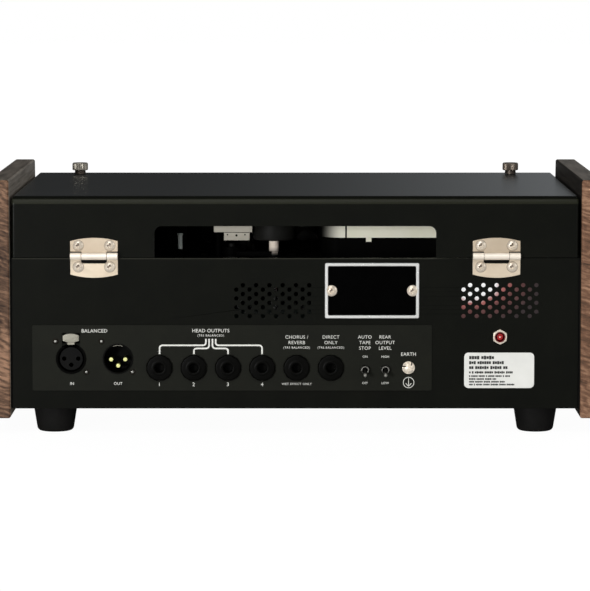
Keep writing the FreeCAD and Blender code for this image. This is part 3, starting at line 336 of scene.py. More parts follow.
# walnut: rings are the sine of 1500 times a height that two slow noises bend and that leans by 0.58 of X;
# 0.07 of the rings, a fine slanted noise for the pores and 0.8 of the slowest noise, less 0.15, are added up,
# and the sum goes through three colours
def walnutBoard(name, *colours):
    material, tree, skin = blankMaterial(name)
    where = placed(tree, (0.55, 0.09, 1.0), (0.0, 0.12, 0.0))
    wander = shaderNode(tree, "TexNoise", Vector=where, Scale=22.0, Detail=3.0, Roughness=0.55).outputs[0]
    ripple = shaderNode(tree, "TexNoise", Vector=where, Scale=110.0, Detail=4.0, Roughness=0.6).outputs[0]
    split = shaderNode(tree, "SeparateXYZ", Vector=where).outputs
    lift = reckoned(tree, "MULTIPLY_ADD", wander, 0.055, split["Z"])
    bent = reckoned(tree, "MULTIPLY_ADD", ripple, 0.012, lift)
    leaned = reckoned(tree, "MULTIPLY_ADD", split["X"], -0.58, bent)
    rings = reckoned(tree, "SINE", reckoned(tree, "MULTIPLY", leaned, 1500.0))
    grain = placed(tree, (5.5, 33.0, 1.0), (0.0, -0.31, 0.0), "TEXTURE")
    fibre = shaderNode(tree, "TexNoise", Vector=grain, Scale=520.0, Detail=5.0, Roughness=0.6).outputs[0]
    mixed = reckoned(tree, "MULTIPLY_ADD", rings, 0.07, fibre)
    tone = reckoned(tree, "ADD", reckoned(tree, "MULTIPLY_ADD", wander, 0.8, -0.15), mixed)
    tree.links.new(coloured(tree, tone, (0.48, 0.72, 0.98), colours), skin.inputs["Base Color"])
    tree.links.new(ranged(tree, fibre, 0.0, 1.0, 0.62, 0.48), skin.inputs["Roughness"])
    relief = shaderNode(tree, "Bump", Height=tone, Strength=0.3, Distance=0.00015)
    tree.links.new(relief.outputs[0], skin.inputs["Normal"])
    skin.inputs["Specular IOR Level"].default_value = 0.15
    return material


walnut = walnutBoard("walnut", "392a1f", "6a4c3a", "9a785f")
walnutDeep = walnutBoard("walnutDeep", "291c15", "553f30", "8f6e57")
walnutSide = walnutBoard("walnutSide", "33261d", "594433", "735b49")
# lit and shaded copies of walnut for the boards' inner faces: painted light and painted shade
walnutPaintedLit = walnutBoard("walnutPaintedLit", "544c42", "7e7569", "948b80")
walnutPaintedShade = walnutBoard("walnutPaintedShade", "14110d", "1e1a15", "2b2620")
walnutFlank = walnutBoard("walnutFlank", "403a32", "60584f", "736a60")   # greyer tone, laid on the boards' tops


# supply board: red resist with a painted glow, white emission round one point where there is no lamp; the glow falls
# off with distance from it, heights counted one and a half times, and a noise makes it patchy
def litBoard(name, at, reach):
    material, tree, skin = blankMaterial(name)
    source = ownPlace(tree)
    flattened = shaderNode(tree, "VectorMath", dict(operation="MULTIPLY"), n0=source, n1=(1.0, 1.0, 1.5)).outputs[0]
    away = shaderNode(tree, "VectorMath", dict(operation="DISTANCE"), n0=flattened, n1=(at[0], at[1], at[2] * 1.5))
    patchy = shaderNode(tree, "TexNoise", Vector=source, Scale=170.0, Detail=2.0).outputs[0]
    fall = ranged(tree, reckoned(tree, "MULTIPLY_ADD", patchy, 0.006, away.outputs["Value"]), 0.0, reach)
    glow = coloured(tree, fall, (0.36, 0.46, 0.58, 0.85), ("ffffff", "b06a66", "684442", "3c3536"))
    mask = shaderNode(tree, "TexNoise", Vector=source, Scale=500.0, Detail=2.0).outputs[0]
    tree.links.new(coloured(tree, mask, (0.0, 1.0), ("1c0c0c", "2a1212")), skin.inputs["Base Color"])
    tree.links.new(glow, skin.inputs["Emission Color"])
    skin.inputs["Emission Strength"].default_value = 0.85
    skin.inputs["Roughness"].default_value = 0.5
    return material


boardRed = litBoard("boardRed", (-0.114, 0.1105, 0.0975), 0.054)

# meter window: thin clear pane
meterPane, paneTree, paneSkin = blankMaterial("meterPane")
paneSkin.inputs["Transmission Weight"].default_value = 1.0
paneSkin.inputs["IOR"].default_value = 1.1
haze = shaderNode(paneTree, "TexNoise", Vector=placed(paneTree), Scale=90.0).outputs[0]
paneTree.links.new(ranged(paneTree, haze, 0.0, 1.0, 0.01, 0.05), paneSkin.inputs["Roughness"])
print("finishes mixed")


# Surfaces

# the fascia leans back from its foot; heights and depths in metres
fascia = dict(tilt=math.radians(10), topDepth=0.2318, top=0.1412, low=0.0165)
tilt = fascia["tilt"]
fasciaRun = fascia["topDepth"] + (fascia["top"] - fascia["low"]) * math.tan(tilt)
# directions across, along and out of each face the pieces sit on, and its origin
faces = dict(
    rear=(Vector((1, 0, 0)), Vector((0, 0, 1)), Vector((0, 1, 0)), Vector((0, rearY * mm, 0))),
    top=(Vector((1, 0, 0)), Vector((0, 1, 0)), Vector((0, 0, 1)), Vector((0, 0, 0))),
    across=(Vector((0, 1, 0)), Vector((0, 0, 1)), Vector((1, 0, 0)), Vector((0, 0, 0))),
    fascia=(Vector((1, 0, 0)), Vector((0, math.sin(tilt), math.cos(tilt))),
            Vector((0, -math.cos(tilt), math.sin(tilt))), Vector((0, rearY * mm - fasciaRun, fascia["low"]))),
)


# point = origin + u * across + v * along + w * outwards, all in millimetres on the face
def onFace(face, u, v, w):
    across, along, out, origin = (np.array(part) for part in faces[face])
    u, v, w = np.broadcast_arrays(u, v, w)
    return origin + mm * (u[..., None] * across + v[..., None] * along + w[..., None] * out)


# each cell of a grid as a quad; a wrapped side joins its last line to its first
def gridCells(rows, columns, wrapRows, wrapColumns):
    i, j = np.meshgrid(np.arange(rows - (not wrapRows)), np.arange(columns - (not wrapColumns)), indexing="ij")
    below, beside = (i + 1) % rows, (j + 1) % columns
    return np.stack([i * columns + j, below * columns + j, below * columns + beside, i * columns + beside],
                    -1).reshape(-1, 4)


# every corner of a profile becomes a short parabola between points set back along its two sides
def eased(profile, radius, steps=3, closed=False):
    corners = np.array(profile, float)
    before, after = np.roll(corners, 1, 0), np.roll(corners, -1, 0)
    inward = before - corners
    onward = after - corners
    reachIn = np.minimum(radius / np.maximum(np.linalg.norm(inward, axis=1), 1e-9), 0.45)[:, None]
    reachOn = np.minimum(radius / np.maximum(np.linalg.norm(onward, axis=1), 1e-9), 0.45)[:, None]
    start, end = corners + inward * reachIn, corners + onward * reachOn
    s = np.linspace(0, 1, steps + 1)[None, :, None]
    bends = (1 - s) ** 2 * start[:, None] + 2 * s * (1 - s) * corners[:, None] + s ** 2 * end[:, None]
    if closed:
        return bends.reshape(-1, corners.shape[1])
    return np.concatenate([corners[:1], bends[1:-1].reshape(-1, corners.shape[1]), corners[-1:]])


# turned shape: at turn t the point lies radius * (cos t, sin t) round the centre at the profile's height;
# ripple(t, radius, height) is added to the radius; a profile that is not on the axis closes on itself
def turned(face, centre, profile, segments=48, ripple=None):
    profile = np.array(profile, float)
    t = np.linspace(0, 2 * np.pi, segments, endpoint=False)[:, None]
    radius, height = profile[None, :, 0], profile[None, :, 1]
    if ripple is not None:
        radius = radius + ripple(t, radius, height) * (radius > 1e-6)
    u, v, w = centre
    points = onFace(face, u + radius * np.cos(t), v + radius * np.sin(t), w + height + 0 * t)
    loop = profile[0, 0] > 1e-6
    return points.reshape(-1, 3), gridCells(segments, len(profile), True, loop)


# rounded rectangle: each corner's centre plus a quarter circle
def roundedRing(wide, tall, radius, perCorner=7):
    t = np.linspace(0, np.pi / 2, perCorner)[None, :] + (np.arange(4) * np.pi / 2)[:, None]
    cornerU = (wide / 2 - radius) * np.array([1, -1, -1, 1])[:, None]
    cornerV = (tall / 2 - radius) * np.array([1, 1, -1, -1])[:, None]
    return np.stack([cornerU + radius * np.cos(t), cornerV + radius * np.sin(t)], -1).reshape(-1, 2)


# stack: layer (inset, height) is the ring drawn in by its inset on every side and set at its height;
# a solid stack closes on its middle at both ends, a frame closes on itself
def stacked(face, centre, ring, layers, solid=True):
    half = np.abs(ring).max(0)
    layers = np.array(layers, float)
    drawn = ring[None] * (1 - layers[:, 0][:, None, None] / half[None, None])
    heights = np.repeat(layers[:, 1][:, None], len(ring), 1)
    if solid:
        drawn = np.concatenate([drawn[:1] * 0, drawn, drawn[-1:] * 0])
        heights = np.concatenate([heights[:1], heights, heights[-1:]])
    u, v, w = centre
    points = onFace(face, u + drawn[..., 0], v + drawn[..., 1], w + heights)
    return points.reshape(-1, 3), gridCells(len(drawn), len(ring), not solid, True)


# bar: a path's points offset both ways along its sideways direction, at two heights, closed at its ends
def bar(face, path, wide, low, high):
    path = np.array(path, float)
    heading = np.gradient(path, axis=0)
    heading /= np.linalg.norm(heading, axis=1)[:, None]
    sideways = np.stack([-heading[:, 1], heading[:, 0]], -1) * wide / 2
    left, right = path + sideways, path - sideways
    ring = np.stack([np.c_[left, left[:, :1] * 0 + low], np.c_[left, left[:, :1] * 0 + high],
                     np.c_[right, right[:, :1] * 0 + high], np.c_[right, right[:, :1] * 0 + low]], 1)
    middle = ring.mean(1, keepdims=True).repeat(4, 1)
    ring = np.concatenate([middle[:1], ring, middle[-1:]])
    points = onFace(face, ring[..., 0], ring[..., 1], ring[..., 2])
    return points.reshape(-1, 3), gridCells(len(ring), 4, False, True)


# dome with a cross cut in it: height = cap of a sphere, less a smooth trench where either arm of the cross runs
def crossDome(face, centre, radius, tall, arm=0.6, slot=0.13, deep=0.45, turn=0.0, rings=16, segments=48):
    r = np.linspace(0, 1, rings)[None, :] * radius
    t = np.linspace(0, 2 * np.pi, segments, endpoint=False)[:, None]
    bulge = (radius ** 2 + tall ** 2) / (2 * tall)
    height = np.sqrt(np.maximum(bulge ** 2 - r ** 2, 0)) - (bulge - tall)
    u, v = r * np.cos(t), r * np.sin(t)
    soft = radius * 0.07

    def along(position, width, reach, length):
        edge = np.clip((width - np.abs(position)) / soft + 0.5, 0, 1)
        stop = np.clip((length - np.abs(reach)) / soft + 0.5, 0, 1)
        return edge * stop
    cu, cv = u * math.cos(turn) + v * math.sin(turn), v * math.cos(turn) - u * math.sin(turn)
    trench = np.maximum(along(cu, slot * radius, cv, arm * radius), along(cv, slot * radius, cu, arm * radius))
    height = height - trench * deep * tall * np.clip((arm * 1.15 - r / radius) / 0.25, 0, 1)
    skirt = np.broadcast_to(np.array([radius, radius * 0.0])[None, :], (segments, 2))
    allR = np.concatenate([r + 0 * t, skirt], 1)
    allH = np.concatenate([height + 0 * t, np.zeros((segments, 2)) - 0.02], 1)
    points = onFace(face, centre[0] + allR * np.cos(t), centre[1] + allR * np.sin(t), centre[2] + allH)
    return points.reshape(-1, 3), gridCells(segments, rings + 2, True, False)


# points at the given radii and turns round a centre: (u + radius cos turn, v + radius sin turn)
def arcAt(centre, radius, turn):
    u, v = centre
    return np.stack(np.broadcast_arrays(u + radius * np.cos(turn), v + radius * np.sin(turn)), -1)


# a filled curve's points and cells, in its own plane
def curveShell(curve):
    holder = bpy.data.objects.new("outline", curve)
    mesh = bpy.data.meshes.new_from_object(holder)
    points = np.zeros(len(mesh.vertices) * 3)
    mesh.vertices.foreach_get("co", points)
    cells = [list(polygon.vertices) for polygon in mesh.polygons]
    bpy.data.objects.remove(holder)
    bpy.data.meshes.remove(mesh)
    return points.reshape(-1, 3), cells


# words as a solid: glyph outlines filled, thickened, scaled to the capital height and laid on a face
def words(face, text, u, v, capital, w=0.0, thick=0.06, weight=0.0, spread=0.0):
    line = bpy.data.curves.new("words", "FONT")
    line.body = text
    line.size = capital / 0.73
    line.align_x = "CENTER"
    line.align_y = "CENTER"
    line.extrude = thick / 2
    line.offset = weight
    line.space_character = 1.0 + spread
    line.resolution_u = 3
    flat, cells = curveShell(line)
    mirror = -1 if face == "rear" else 1   # the rear is read from behind
    return onFace(face, u + flat[:, 0] * mirror, v + flat[:, 1], w + thick / 2 + flat[:, 2]), cells


# a flat sheet with holes: closed outlines filled as one curve, thickened and laid on a face;
# a bore is its centre and radius, a slot is an outline
def pierced(face, outline, bores, low, high, slots=(), sides=20):
    flat = bpy.data.curves.new("pierced", "CURVE")
    flat.dimensions = "2D"
    flat.fill_mode = "BOTH"
    flat.extrude = (high - low) / 2
    turn = np.linspace(0, 2 * np.pi, sides, endpoint=False)
    for ring in [outline, *(arcAt((u, v), radius, turn) for u, v, radius in bores), *slots]:
        spline = flat.splines.new("POLY")
        spline.points.add(len(ring) - 1)
        spline.points.foreach_set("co", np.c_[ring, np.zeros(len(ring)), np.ones(len(ring))].ravel())
        spline.use_cyclic_u = True
    points, cells = curveShell(flat)
    return onFace(face, points[:, 0], points[:, 1], (low + high) / 2 + points[:, 2]), cells


# an object for a mesh, with its material, shaded smooth up to an angle in degrees
def settled(name, mesh, material, sharp):
    mesh.shade_smooth()
    mesh.set_sharp_from_angle(angle=math.radians(sharp))
    mesh.materials.clear()
    mesh.materials.append(material)
    made = bpy.data.objects.new(name, mesh)
    bpy.context.scene.collection.objects.link(made)
    return made


# one piece from closed shells: joined, doubles merged, faces turned outwards
def piece(name, shells, material, stands=(), body="chassis", sharp=35.0, merge=1e-7):
    starts = np.cumsum([0] + [len(points) for points, cells in shells[:-1]])
    points = np.concatenate([points for points, cells in shells])
    joined = []
    for start, (part, cells) in zip(starts, shells):
        joined += [[int(corner + start) for corner in cell] for cell in cells]
    mesh = bpy.data.meshes.new(name)
    mesh.from_pydata(points.tolist(), [], joined)
    work = bmesh.new()
    work.from_mesh(mesh)
    bmesh.ops.remove_doubles(work, verts=work.verts, dist=merge)
    bmesh.ops.dissolve_degenerate(work, edges=work.edges, dist=merge)
    bmesh.ops.recalc_face_normals(work, faces=work.faces)
    work.to_mesh(mesh)
    work.free()
    made = settled(name, mesh, material, sharp)
    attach(made, body)
    if stands:
        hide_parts(*stands)
    return made


# edges sharper than the angle rounded off, width in millimetres
def soften(made, width, segments, angle, miter="MITER_ARC"):
    bevel = made.modifiers.new("soften", "BEVEL")
    bevel.width = width * mm
    bevel.segments = segments
    bevel.limit_method = "ANGLE"
    bevel.angle_limit = math.radians(angle)
    bevel.harden_normals = True
    bevel.miter_outer = miter


# a CAD node's own shape with its edges eased: merged copy, flats dissolved, bevelled
def easedNode(name, node, material, width, segments=2, angle=40.0, body="chassis"):
    mesh = nodes[node].data.copy()
    work = bmesh.new()
    work.from_mesh(mesh)
    bmesh.ops.remove_doubles(work, verts=work.verts, dist=1e-6)
    bmesh.ops.dissolve_limit(work, angle_limit=math.radians(0.5), verts=work.verts, edges=work.edges)
    work.to_mesh(mesh)
    work.free()
    made = settled(name, mesh, material, angle)
    soften(made, width, segments, angle)
    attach(made, body)
    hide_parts(node)
    return made


# faces whose middle passes the rule (x, y, z in millimetres) take a second finish
def dressFaces(made, material, rule):
    mesh = made.data
    middles = np.zeros(len(mesh.polygons) * 3)
    mesh.polygons.foreach_get("center", middles)
    x, y, z = middles.reshape(-1, 3).T / mm
    mesh.materials.append(material)
    slots = np.zeros(len(mesh.polygons), np.int32)
    mesh.polygons.foreach_get("material_index", slots)
    slots[rule(x, y, z)] = len(mesh.materials) - 1
    mesh.polygons.foreach_set("material_index", slots)


# Rear: sheet with its vents; places are millimetres from the middle and from the floor

jacks = dict(first=87.6, pitch=22.08, height=43.1, hole=6.6, bore=2.9, collar=8.5, neck=6.5, notches=12,
             notchDeep=0.22)
xlr = dict(inAt=144.4, outAt=114.2, height=48.8, hole=9.8, insert=7.4, pin=1.35, pitch=4.55, sag=0.8, drop=4.85,
           padWide=10.5, padTall=5.9)
toggles = dict(at=(-44.9, -58.0), height=41.9, hole=2.95, drop=17.0, pivotOut=1.0, reach=10.1)
inlet = dict(at=(-131.7, 63.1), hole=4.0, corner=5.05)
rear = dict(half=182.0, low=16.5, high=113.9, thick=1.5, vent=1.4, rows=8, columns=6, top=96.45, pitchU=8.53,
            pitchV=2.86, firsts=(33.7, -112.4), stagger=4.2, latchSlot=(138.65, 150.15, 58.9, 65.55))
jackPlaces = [jacks["first"] - number * jacks["pitch"] for number in range(6)]


# the four corners, anticlockwise from the lower left
def rectangle(left, right, low, high):
    return [(left, low), (right, low), (right, high), (left, high)]


bores = [(first + rear["stagger"] * (row % 2) - column * rear["pitchU"], rear["top"] - row * rear["pitchV"],
          rear["vent"])
         for first in rear["firsts"] for row in range(rear["rows"]) for column in range(rear["columns"])]
bores += [(u, jacks["height"], jacks["hole"]) for u in jackPlaces]
bores += [(u, xlr["height"], xlr["hole"]) for u in (xlr["inAt"], xlr["outAt"])]
bores += [(u, toggles["height"], toggles["hole"]) for u in toggles["at"]] + [(*inlet["at"], inlet["hole"])]
sheetEdge = rectangle(-rear["half"], rear["half"], rear["low"], rear["high"])
sheetShell = pierced("rear", sheetEdge, bores, -rear["thick"], 0, [rectangle(*rear["latchSlot"])])
sheet = piece("rearSheet", [sheetShell], panelPaint, ["rear_panel"], merge=1e-6)
soften(sheet, 0.2, 3, 60, "MITER_SHARP")


# Rear: jacks

# places on the fascia, besides its knobs
front = dict(jacks=(-146, -112), jackV=28, power=(150, 42), lamp=(150, 74))


# collar, neck and lined bore in one turned profile; the square body behind is a stack
def jackShells(face, u, v, w):
    bore, collar, neck = jacks["bore"], jacks["collar"], jacks["neck"]
    profile = [(bore, -26), (neck, -26), (neck, 0), (collar, 0), (collar, 1.6), (collar - 0.9, 2.3), (bore + 2.0, 2.3),
               (bore + 1.6, 2.5), (bore + 0.5, 2.5), (bore, 2.0)]

    def notches(t, radius, height):
        return -jacks["notchDeep"] * (radius > collar - 0.5) * (np.cos(jacks["notches"] * t) > 0.55)
    tube = turned(face, (u, v, w), eased(profile, 0.3, 2, True), 96, notches)
    casing = stacked(face, (u, v, w), roundedRing(16, 16, 1.0, 3), [(0, -24), (0, -5.5), (0.5, -5)])
    return [tube, casing]


for number, at in enumerate(jackPlaces, 1):
    piece("jackSocket" + str(number), jackShells("rear", at, jacks["height"], 0.8), blackMoulding,
          ["jack_" + str(number)])
frontShells = [shell for at in front["jacks"] for shell in jackShells("fascia", at, front["jackV"], 0)]
piece("frontSockets", frontShells, blackMoulding, ["front_jacks"])
print("jacks turned")


# Rear: three-pin connectors

pins = [(-xlr["pitch"], -xlr["sag"]), (xlr["pitch"], -xlr["sag"]), (0, -xlr["drop"])]
pinProfile = eased([(0, 0), (xlr["pin"], 0), (xlr["pin"], 13.2), (xlr["pin"] - 0.2, 13.4), (0, 13.4)], 0.15, 3)
contacts = piece("outletPins", [turned("rear", (xlr["outAt"] + du, xlr["height"] + dv, -16), pinProfile, 32)
                                for du, dv in pins], pinBrass, ["xlr_out_pins"])
dressFaces(contacts, pinShade, lambda x, y, z: y < rearY - 2.95)

# inlet insert: a disc with three contact wells
disc = arcAt((xlr["inAt"], xlr["height"]), xlr["insert"], np.linspace(0, 2 * np.pi, 64, endpoint=False))
wells = [(xlr["inAt"] + du, xlr["height"] + dv + 0.8, 1.45) for du, dv in pins]
piece("inletInsert", [pierced("rear", disc, wells, -12, -0.9)], insertMoulding, ["xlr_in_insert"], merge=1e-6)

# painted highlight on the cavity's upper rim: a thin light arc of the wall, as deep as the lip
rimHighlight = arcAt((xlr["outAt"], xlr["height"]), 8.8, np.radians(np.linspace(70, 110, 13)))
piece("rimHighlightArc", [bar("rear", rimHighlight, 0.3, -12, 1.3)], latchMetal)

# release pad: short upright ends, and long edges that bow outwards with the square of the way across; short stem
s = np.linspace(1, -1, 17)
bow = 1.7 + (xlr["padTall"] / 2 - 1.7) * (1 - s ** 2)
longEdge = np.stack([s * xlr["padWide"] / 2, bow], -1)
padRing = eased(np.concatenate([longEdge, -longEdge]), 0.15, 2, True)
crown = [(0.2, 0.2), (0, 0.45), (0, 1.9), (0.15, 2.2), (0.6, 2.35)]
pad = stacked("rear", (xlr["inAt"], xlr["height"] + 13.6, 0.1), padRing, crown)
stem = stacked("rear", (xlr["inAt"], xlr["height"] + 11.0, 0), roundedRing(4.8, 3.6, 0.5, 3),
               [(0, -2.4), (0, 1.5), (0.3, 1.8)])
piece("releasePad", [pad, stem], latchMetal, ["xlr_latch"], "release_tab")
print("connectors made")


# Rear: toggles, earth post and screws

shoulder = eased([(1.95, -2.3), (2.5, -2.3), (2.5, 3.3), (2.35, 3.6), (1.95, 3.6)], 0.12, 2, True)
powerFace = eased([(2.6, -3), (3.4, -3), (3.4, 3.6), (3.1, 4.0), (2.6, 4.0)], 0.15, 2, True)
boreShadeProfile = eased([(1.5, 0), (1.93, 0), (1.93, 2.4), (1.5, 2.2)], 0.1, 2, True)


# thread: a sine of the height that starts later as it turns, below the bushing's rounded end
def threads(t, radius, height):
    return 0.08 * np.sin(height * 9 + t) * (radius > 2.45) * (height < 3.0)


bushingShells = [turned("rear", (u, toggles["height"], 0.8), shoulder, 40, threads) for u in toggles["at"]]
switchBody, powerBody = roundedRing(6.8, 12, 0.5, 3), roundedRing(14, 20, 0.8, 3)
bushingShells += [stacked("rear", (u, toggles["height"], 0), switchBody, [(0, -11.5), (0, -1.8), (0.3, -1.5)])
                  for u in toggles["at"]]
bushingShells += [turned("fascia", (*front["power"], 0), powerFace, 40),
                  stacked("fascia", (*front["power"], 0), powerBody, [(0, -16), (0, -2.6), (0.4, -2.2)])]
bushings = piece("toggleBushings", bushingShells, bushingSteel, ["toggle_bodies"])
dressFaces(bushings, highlightNickel, lambda x, y, z: (y > 129.6) & (z > 41.6) & (x < -40))   # painted highlight on the upper half of the rear ends
# black rings filling the bushings' bores: painted shade in the bore
piece("toggleBoreShades", [turned("rear", (u, toggles["height"], 0.8), boreShadeProfile, 32) for u in toggles["at"]],
      blackMoulding)


# bat lever: radius grows from the root towards a ball end, placed along its own leaning axis
def batLever(face, at, lean, reach, root, tip, ball, out):
    across, along, outwards, origin = faces[face]
    axis = np.array(Matrix.Rotation(lean, 3, across) @ outwards)
    side = np.array(Matrix.Rotation(lean, 3, across) @ along)
    across, along, outwards, origin = (np.array(part) for part in faces[face])
    t = np.linspace(0, 2 * np.pi, 32, endpoint=False)[:, None, None]
    arc = np.linspace(0, np.pi / 2, 7)
    heights = np.concatenate([[-ball, -ball * 0.8, -ball * 0.3, 0, ball * 0.5], np.linspace(1.5, reach - tip, 8),
                              reach - tip + tip * np.sin(arc[1:])])[None, :, None]
    radii = np.concatenate([[0, ball * 0.6, ball * 0.95, ball, ball * 0.85], np.linspace(root, tip * 0.97, 8),
                            tip * np.cos(arc[1:])])
    radii[-1] = 0
    start = origin + mm * (at[0] * across + at[1] * along + out * outwards)
    points = start + mm * (radii[None, :, None] * (np.cos(t) * across + np.sin(t) * side) + heights * axis)
    return points.reshape(-1, 3), gridCells(32, len(radii), True, False)


lean = -math.radians(toggles["drop"])
for number, (u, body) in enumerate(zip(toggles["at"], ("stop_lever", "level_lever"))):
    lever = batLever("rear", (u, toggles["height"]), lean, toggles["reach"], 0.75, 1.15, 1.4, toggles["pivotOut"])
    made = piece("toggleLever" + str(number + 1), [lever], leverShade, ["toggle_lever_" + str(number + 1)], body)
    # painted highlight on the lever's outer end
    dressFaces(made, highlightNickel, lambda x, y, z: y > rearY + 9.1)
lever = batLever("fascia", front["power"], math.radians(14), 17, 1.0, 2.4, 1.6, 0.4)
piece("powerLever", [lever], screwNickel, ["power_lever"], "power_switch")

earth = dict(at=(-72.9, 43.2), radius=3.8, tall=2.2)
washer = turned("rear", (*earth["at"], 0.8), eased([(0, 0), (4.05, 0), (4.05, 0.9), (0, 0.9)], 0.2), 48)
earthHead = crossDome("rear", (*earth["at"], 1.65), earth["radius"], earth["tall"], 1.1, 0.14, 0.3, 0.25, 26, 96)
terminal = piece("earthPost", [washer, earthHead], earthNickel, ["earth_terminal"])


# one arm of the slot runs towards +X and widens, the other runs up and leans
def earthSlot(x, y, z):
    du, dv = x - earth["at"][0], z - earth["at"][1]
    level = (np.abs(dv - 0.9) < 0.15 + 0.1 * du) & (du > 0.9)
    upright = (np.abs(du + 1.3 + 0.25 * dv) < 0.16 * dv) & (dv > 1.5)
    return level | upright


# painted shade in the earth screw's slot
dressFaces(terminal, darkScrewAndSlotShade, earthSlot)

hinges = dict(at=(129.2, -129.2), wide=30.5, axisV=115.3, axisOut=2.65, pin=1.1, screwOut=10.07, screwsLow=108.4,
              screwsHigh=122.1)
lowerScrews, upperScrews = [[(at + side * hinges["screwOut"], v) for at in hinges["at"] for side in (1, -1)]
                            for v in (hinges["screwsLow"], hinges["screwsHigh"])]
connectorPlaces = ((154.3, 60.25), (134.5, 40.35), (124.7, 60.25), (104.9, 40.35))
platePlaces = [(-23.25, 93.0), (-75.35, 93.0)]
hingeScrew = dict(radius=3.35, tall=1.4, arm=0.5, slot=0.16, deep=0.6, turn=0.12)
plateScrew = dict(radius=3.6, tall=1.5, arm=0.62, slot=0.15, deep=0.55, turn=0.2)
connectorScrew = dict(radius=2.1, tall=0.9, arm=0.6, slot=0.16, deep=0.6, turn=0.5, rings=12, segments=32)
piece("connectorScrews", [crossDome("rear", (u, v, 0.8), **connectorScrew) for u, v in connectorPlaces], darkScrewAndSlotShade)
# painted glint: a bright disc in each dark screw's recess
glintFloor = eased([(0, 0), (0.85, 0), (0.85, 0.35), (0, 0.45)], 0.1)
piece("screwRecessGlints", [turned("rear", (u, v, 1.0), glintFloor, 20) for u, v in connectorPlaces], screwSteel)
sheetScrews = [crossDome("rear", (u, v, 1.4), **plateScrew) for u, v in platePlaces]
sheetScrews += [crossDome("rear", (u, v, 1.2), **hingeScrew) for u, v in lowerScrews]
leafScrews = piece("panelScrews", sheetScrews, screwNickel, ["panel_screws"])
lidScrews = piece("lidHingeScrews", [crossDome("rear", (u, v, 1.2), **hingeScrew) for u, v in upperScrews],
                  screwNickel, ["hinge_screws_upper"], "lid")


# painted shade in the cross recess: inside either arm of a cross about the nearest of the given centres, above a line
# that falls towards -X
def inRecess(centres, arm=1.5, half=0.5):
    def rule(x, y, z):
        found = np.zeros(len(x), bool)
        for u, v in centres:
            du, dv = x - u, z - v
            cross = ((np.abs(du) < half) & (np.abs(dv) < arm)) | ((np.abs(dv) < half) & (np.abs(du) < arm))
            found |= cross & (dv + 0.5 * du > -0.15)
        return found
    return rule


dressFaces(leafScrews, recessShade, inRecess(lowerScrews + platePlaces))
dressFaces(lidScrews, recessShade, inRecess(upperScrews))
# painted shadow: a thin dark ring round each hinge screw's head
headShadowRing = eased([(3.2, 0), (3.62, 0), (3.62, 0.12), (3.2, 0.12)], 0.02, 2, True)
for name, body, centres in (("lowerScrewShadows", "chassis", lowerScrews), ("upperScrewShadows", "lid", upperScrews)):
    piece(name, [turned("rear", (u, v, 1.2), headShadowRing, 40) for u, v in centres], headShadowBrown, body=body)
print("toggles and screws made")


# Rear: inlet, nameplate, label

# six flats: radius = flat / cos(turn past the nearest flat's middle), never more than the profile's radius;
# the bore keeps its own
def nutFlats(t, radius, height):
    flat = inlet["corner"] * math.cos(math.pi / 6)
    past = np.mod(t - math.pi / 2, np.pi / 3) - np.pi / 6
    return (np.minimum(flat / np.cos(past), radius) - radius) * (radius > 3.6)


# an eased profile turned about the inlet's axis
def inletRing(profile, radius, segments, steps=3, closed=False, ripple=None):
    return turned("rear", (*inlet["at"], 0), eased(profile, radius, steps, closed), segments, ripple)


corner = inlet["corner"]
nut = inletRing([(3.35, 0), (corner, 0), (corner, 1.6), (corner - 0.7, 2.2), (3.35, 2.2)], 0.12, 96, 2, True, nutFlats)
sleeve = inletRing([(2.75, -8), (3.32, -8), (3.32, 2.9), (2.75, 2.9)], 0.12, 48, 2, True)
base = inletRing([(0, -14), (6.5, -14), (6.5, -8), (0, -8)], 0.4, 48)
throat = inletRing([(0, -6), (2.1, -6), (2.1, 0.9), (1.1, 0.9), (1.1, 0.2), (0, 0.2)], 0.1, 40)
centrePin = inletRing([(0, 0), (0.75, 0), (0.75, 1.8), (0.55, 2.1), (0, 2.1)], 0.15, 24)
piece("inletNut", [nut], screwNickel, ["dc_nut"])
piece("inletSleeve", [sleeve, base], socketShadeRed, ["dc_inlet"])
piece("inletThroat", [throat], socketRed)
piece("inletPin", [centrePin], pinRoseHighlight)

plate = dict(at=(-49.3, 93.0), wide=60.4, tall=35.6, rim=1.9, proud=1.8)
proud, lower, rim = plate["proud"], plate["proud"] - 0.35, plate["rim"]
frameLayers = [(0, 0), (0, lower), (0.35, proud), (rim - 0.35, proud), (rim, lower), (rim, 0.0)]
frameRing = roundedRing(plate["wide"], plate["tall"], 0.9, 4)
piece("plateFrame", [stacked("rear", (*plate["at"], 0), frameRing, frameLayers, False)], mirrorPlate, ["nameplate"])
fieldRing = roundedRing(plate["wide"] - 2 * rim, plate["tall"] - 2 * rim, 0.3, 3)
piece("plateField", [stacked("rear", (*plate["at"], 0), fieldRing, [(0, 0), (0, 1.4)])], plateEnamel)

label = dict(left=-108.8, right=-153.9, low=29.8, high=52.8)
labelMiddle = ((label["left"] + label["right"]) / 2, (label["low"] + label["high"]) / 2)
labelRing = roundedRing(label["left"] - label["right"], label["high"] - label["low"], 2.8, 8)
piece("ratingLabel", [stacked("rear", (*labelMiddle, 0), labelRing, [(0, 0), (0, 0.2), (0.06, 0.25), (0.6, 0.25)])],
      labelVinyl, ["rating_label"])


# a row of blank marks: each 0.62 of the row's height wide and 0.72 to 1 of it tall by a sine, with a wider gap where
# a second sine is low
def markRow(v, long, tall, row):
    marks, done = [], 0.0
    while done < long - tall * 0.5:
        rise = tall * (0.86 + 0.14 * math.sin(2.9 * len(marks) + 1.7 * row))
        u = label["left"] - 3.2 - done
        marks.append(bar("rear", [(u, v), (u - tall * 0.31, v), (u - tall * 0.62, v)], rise, 0.2, 0.29))
        done += tall * (0.7 if math.sin(1.15 * len(marks) + row) > -0.8 else 1.15)
    return marks


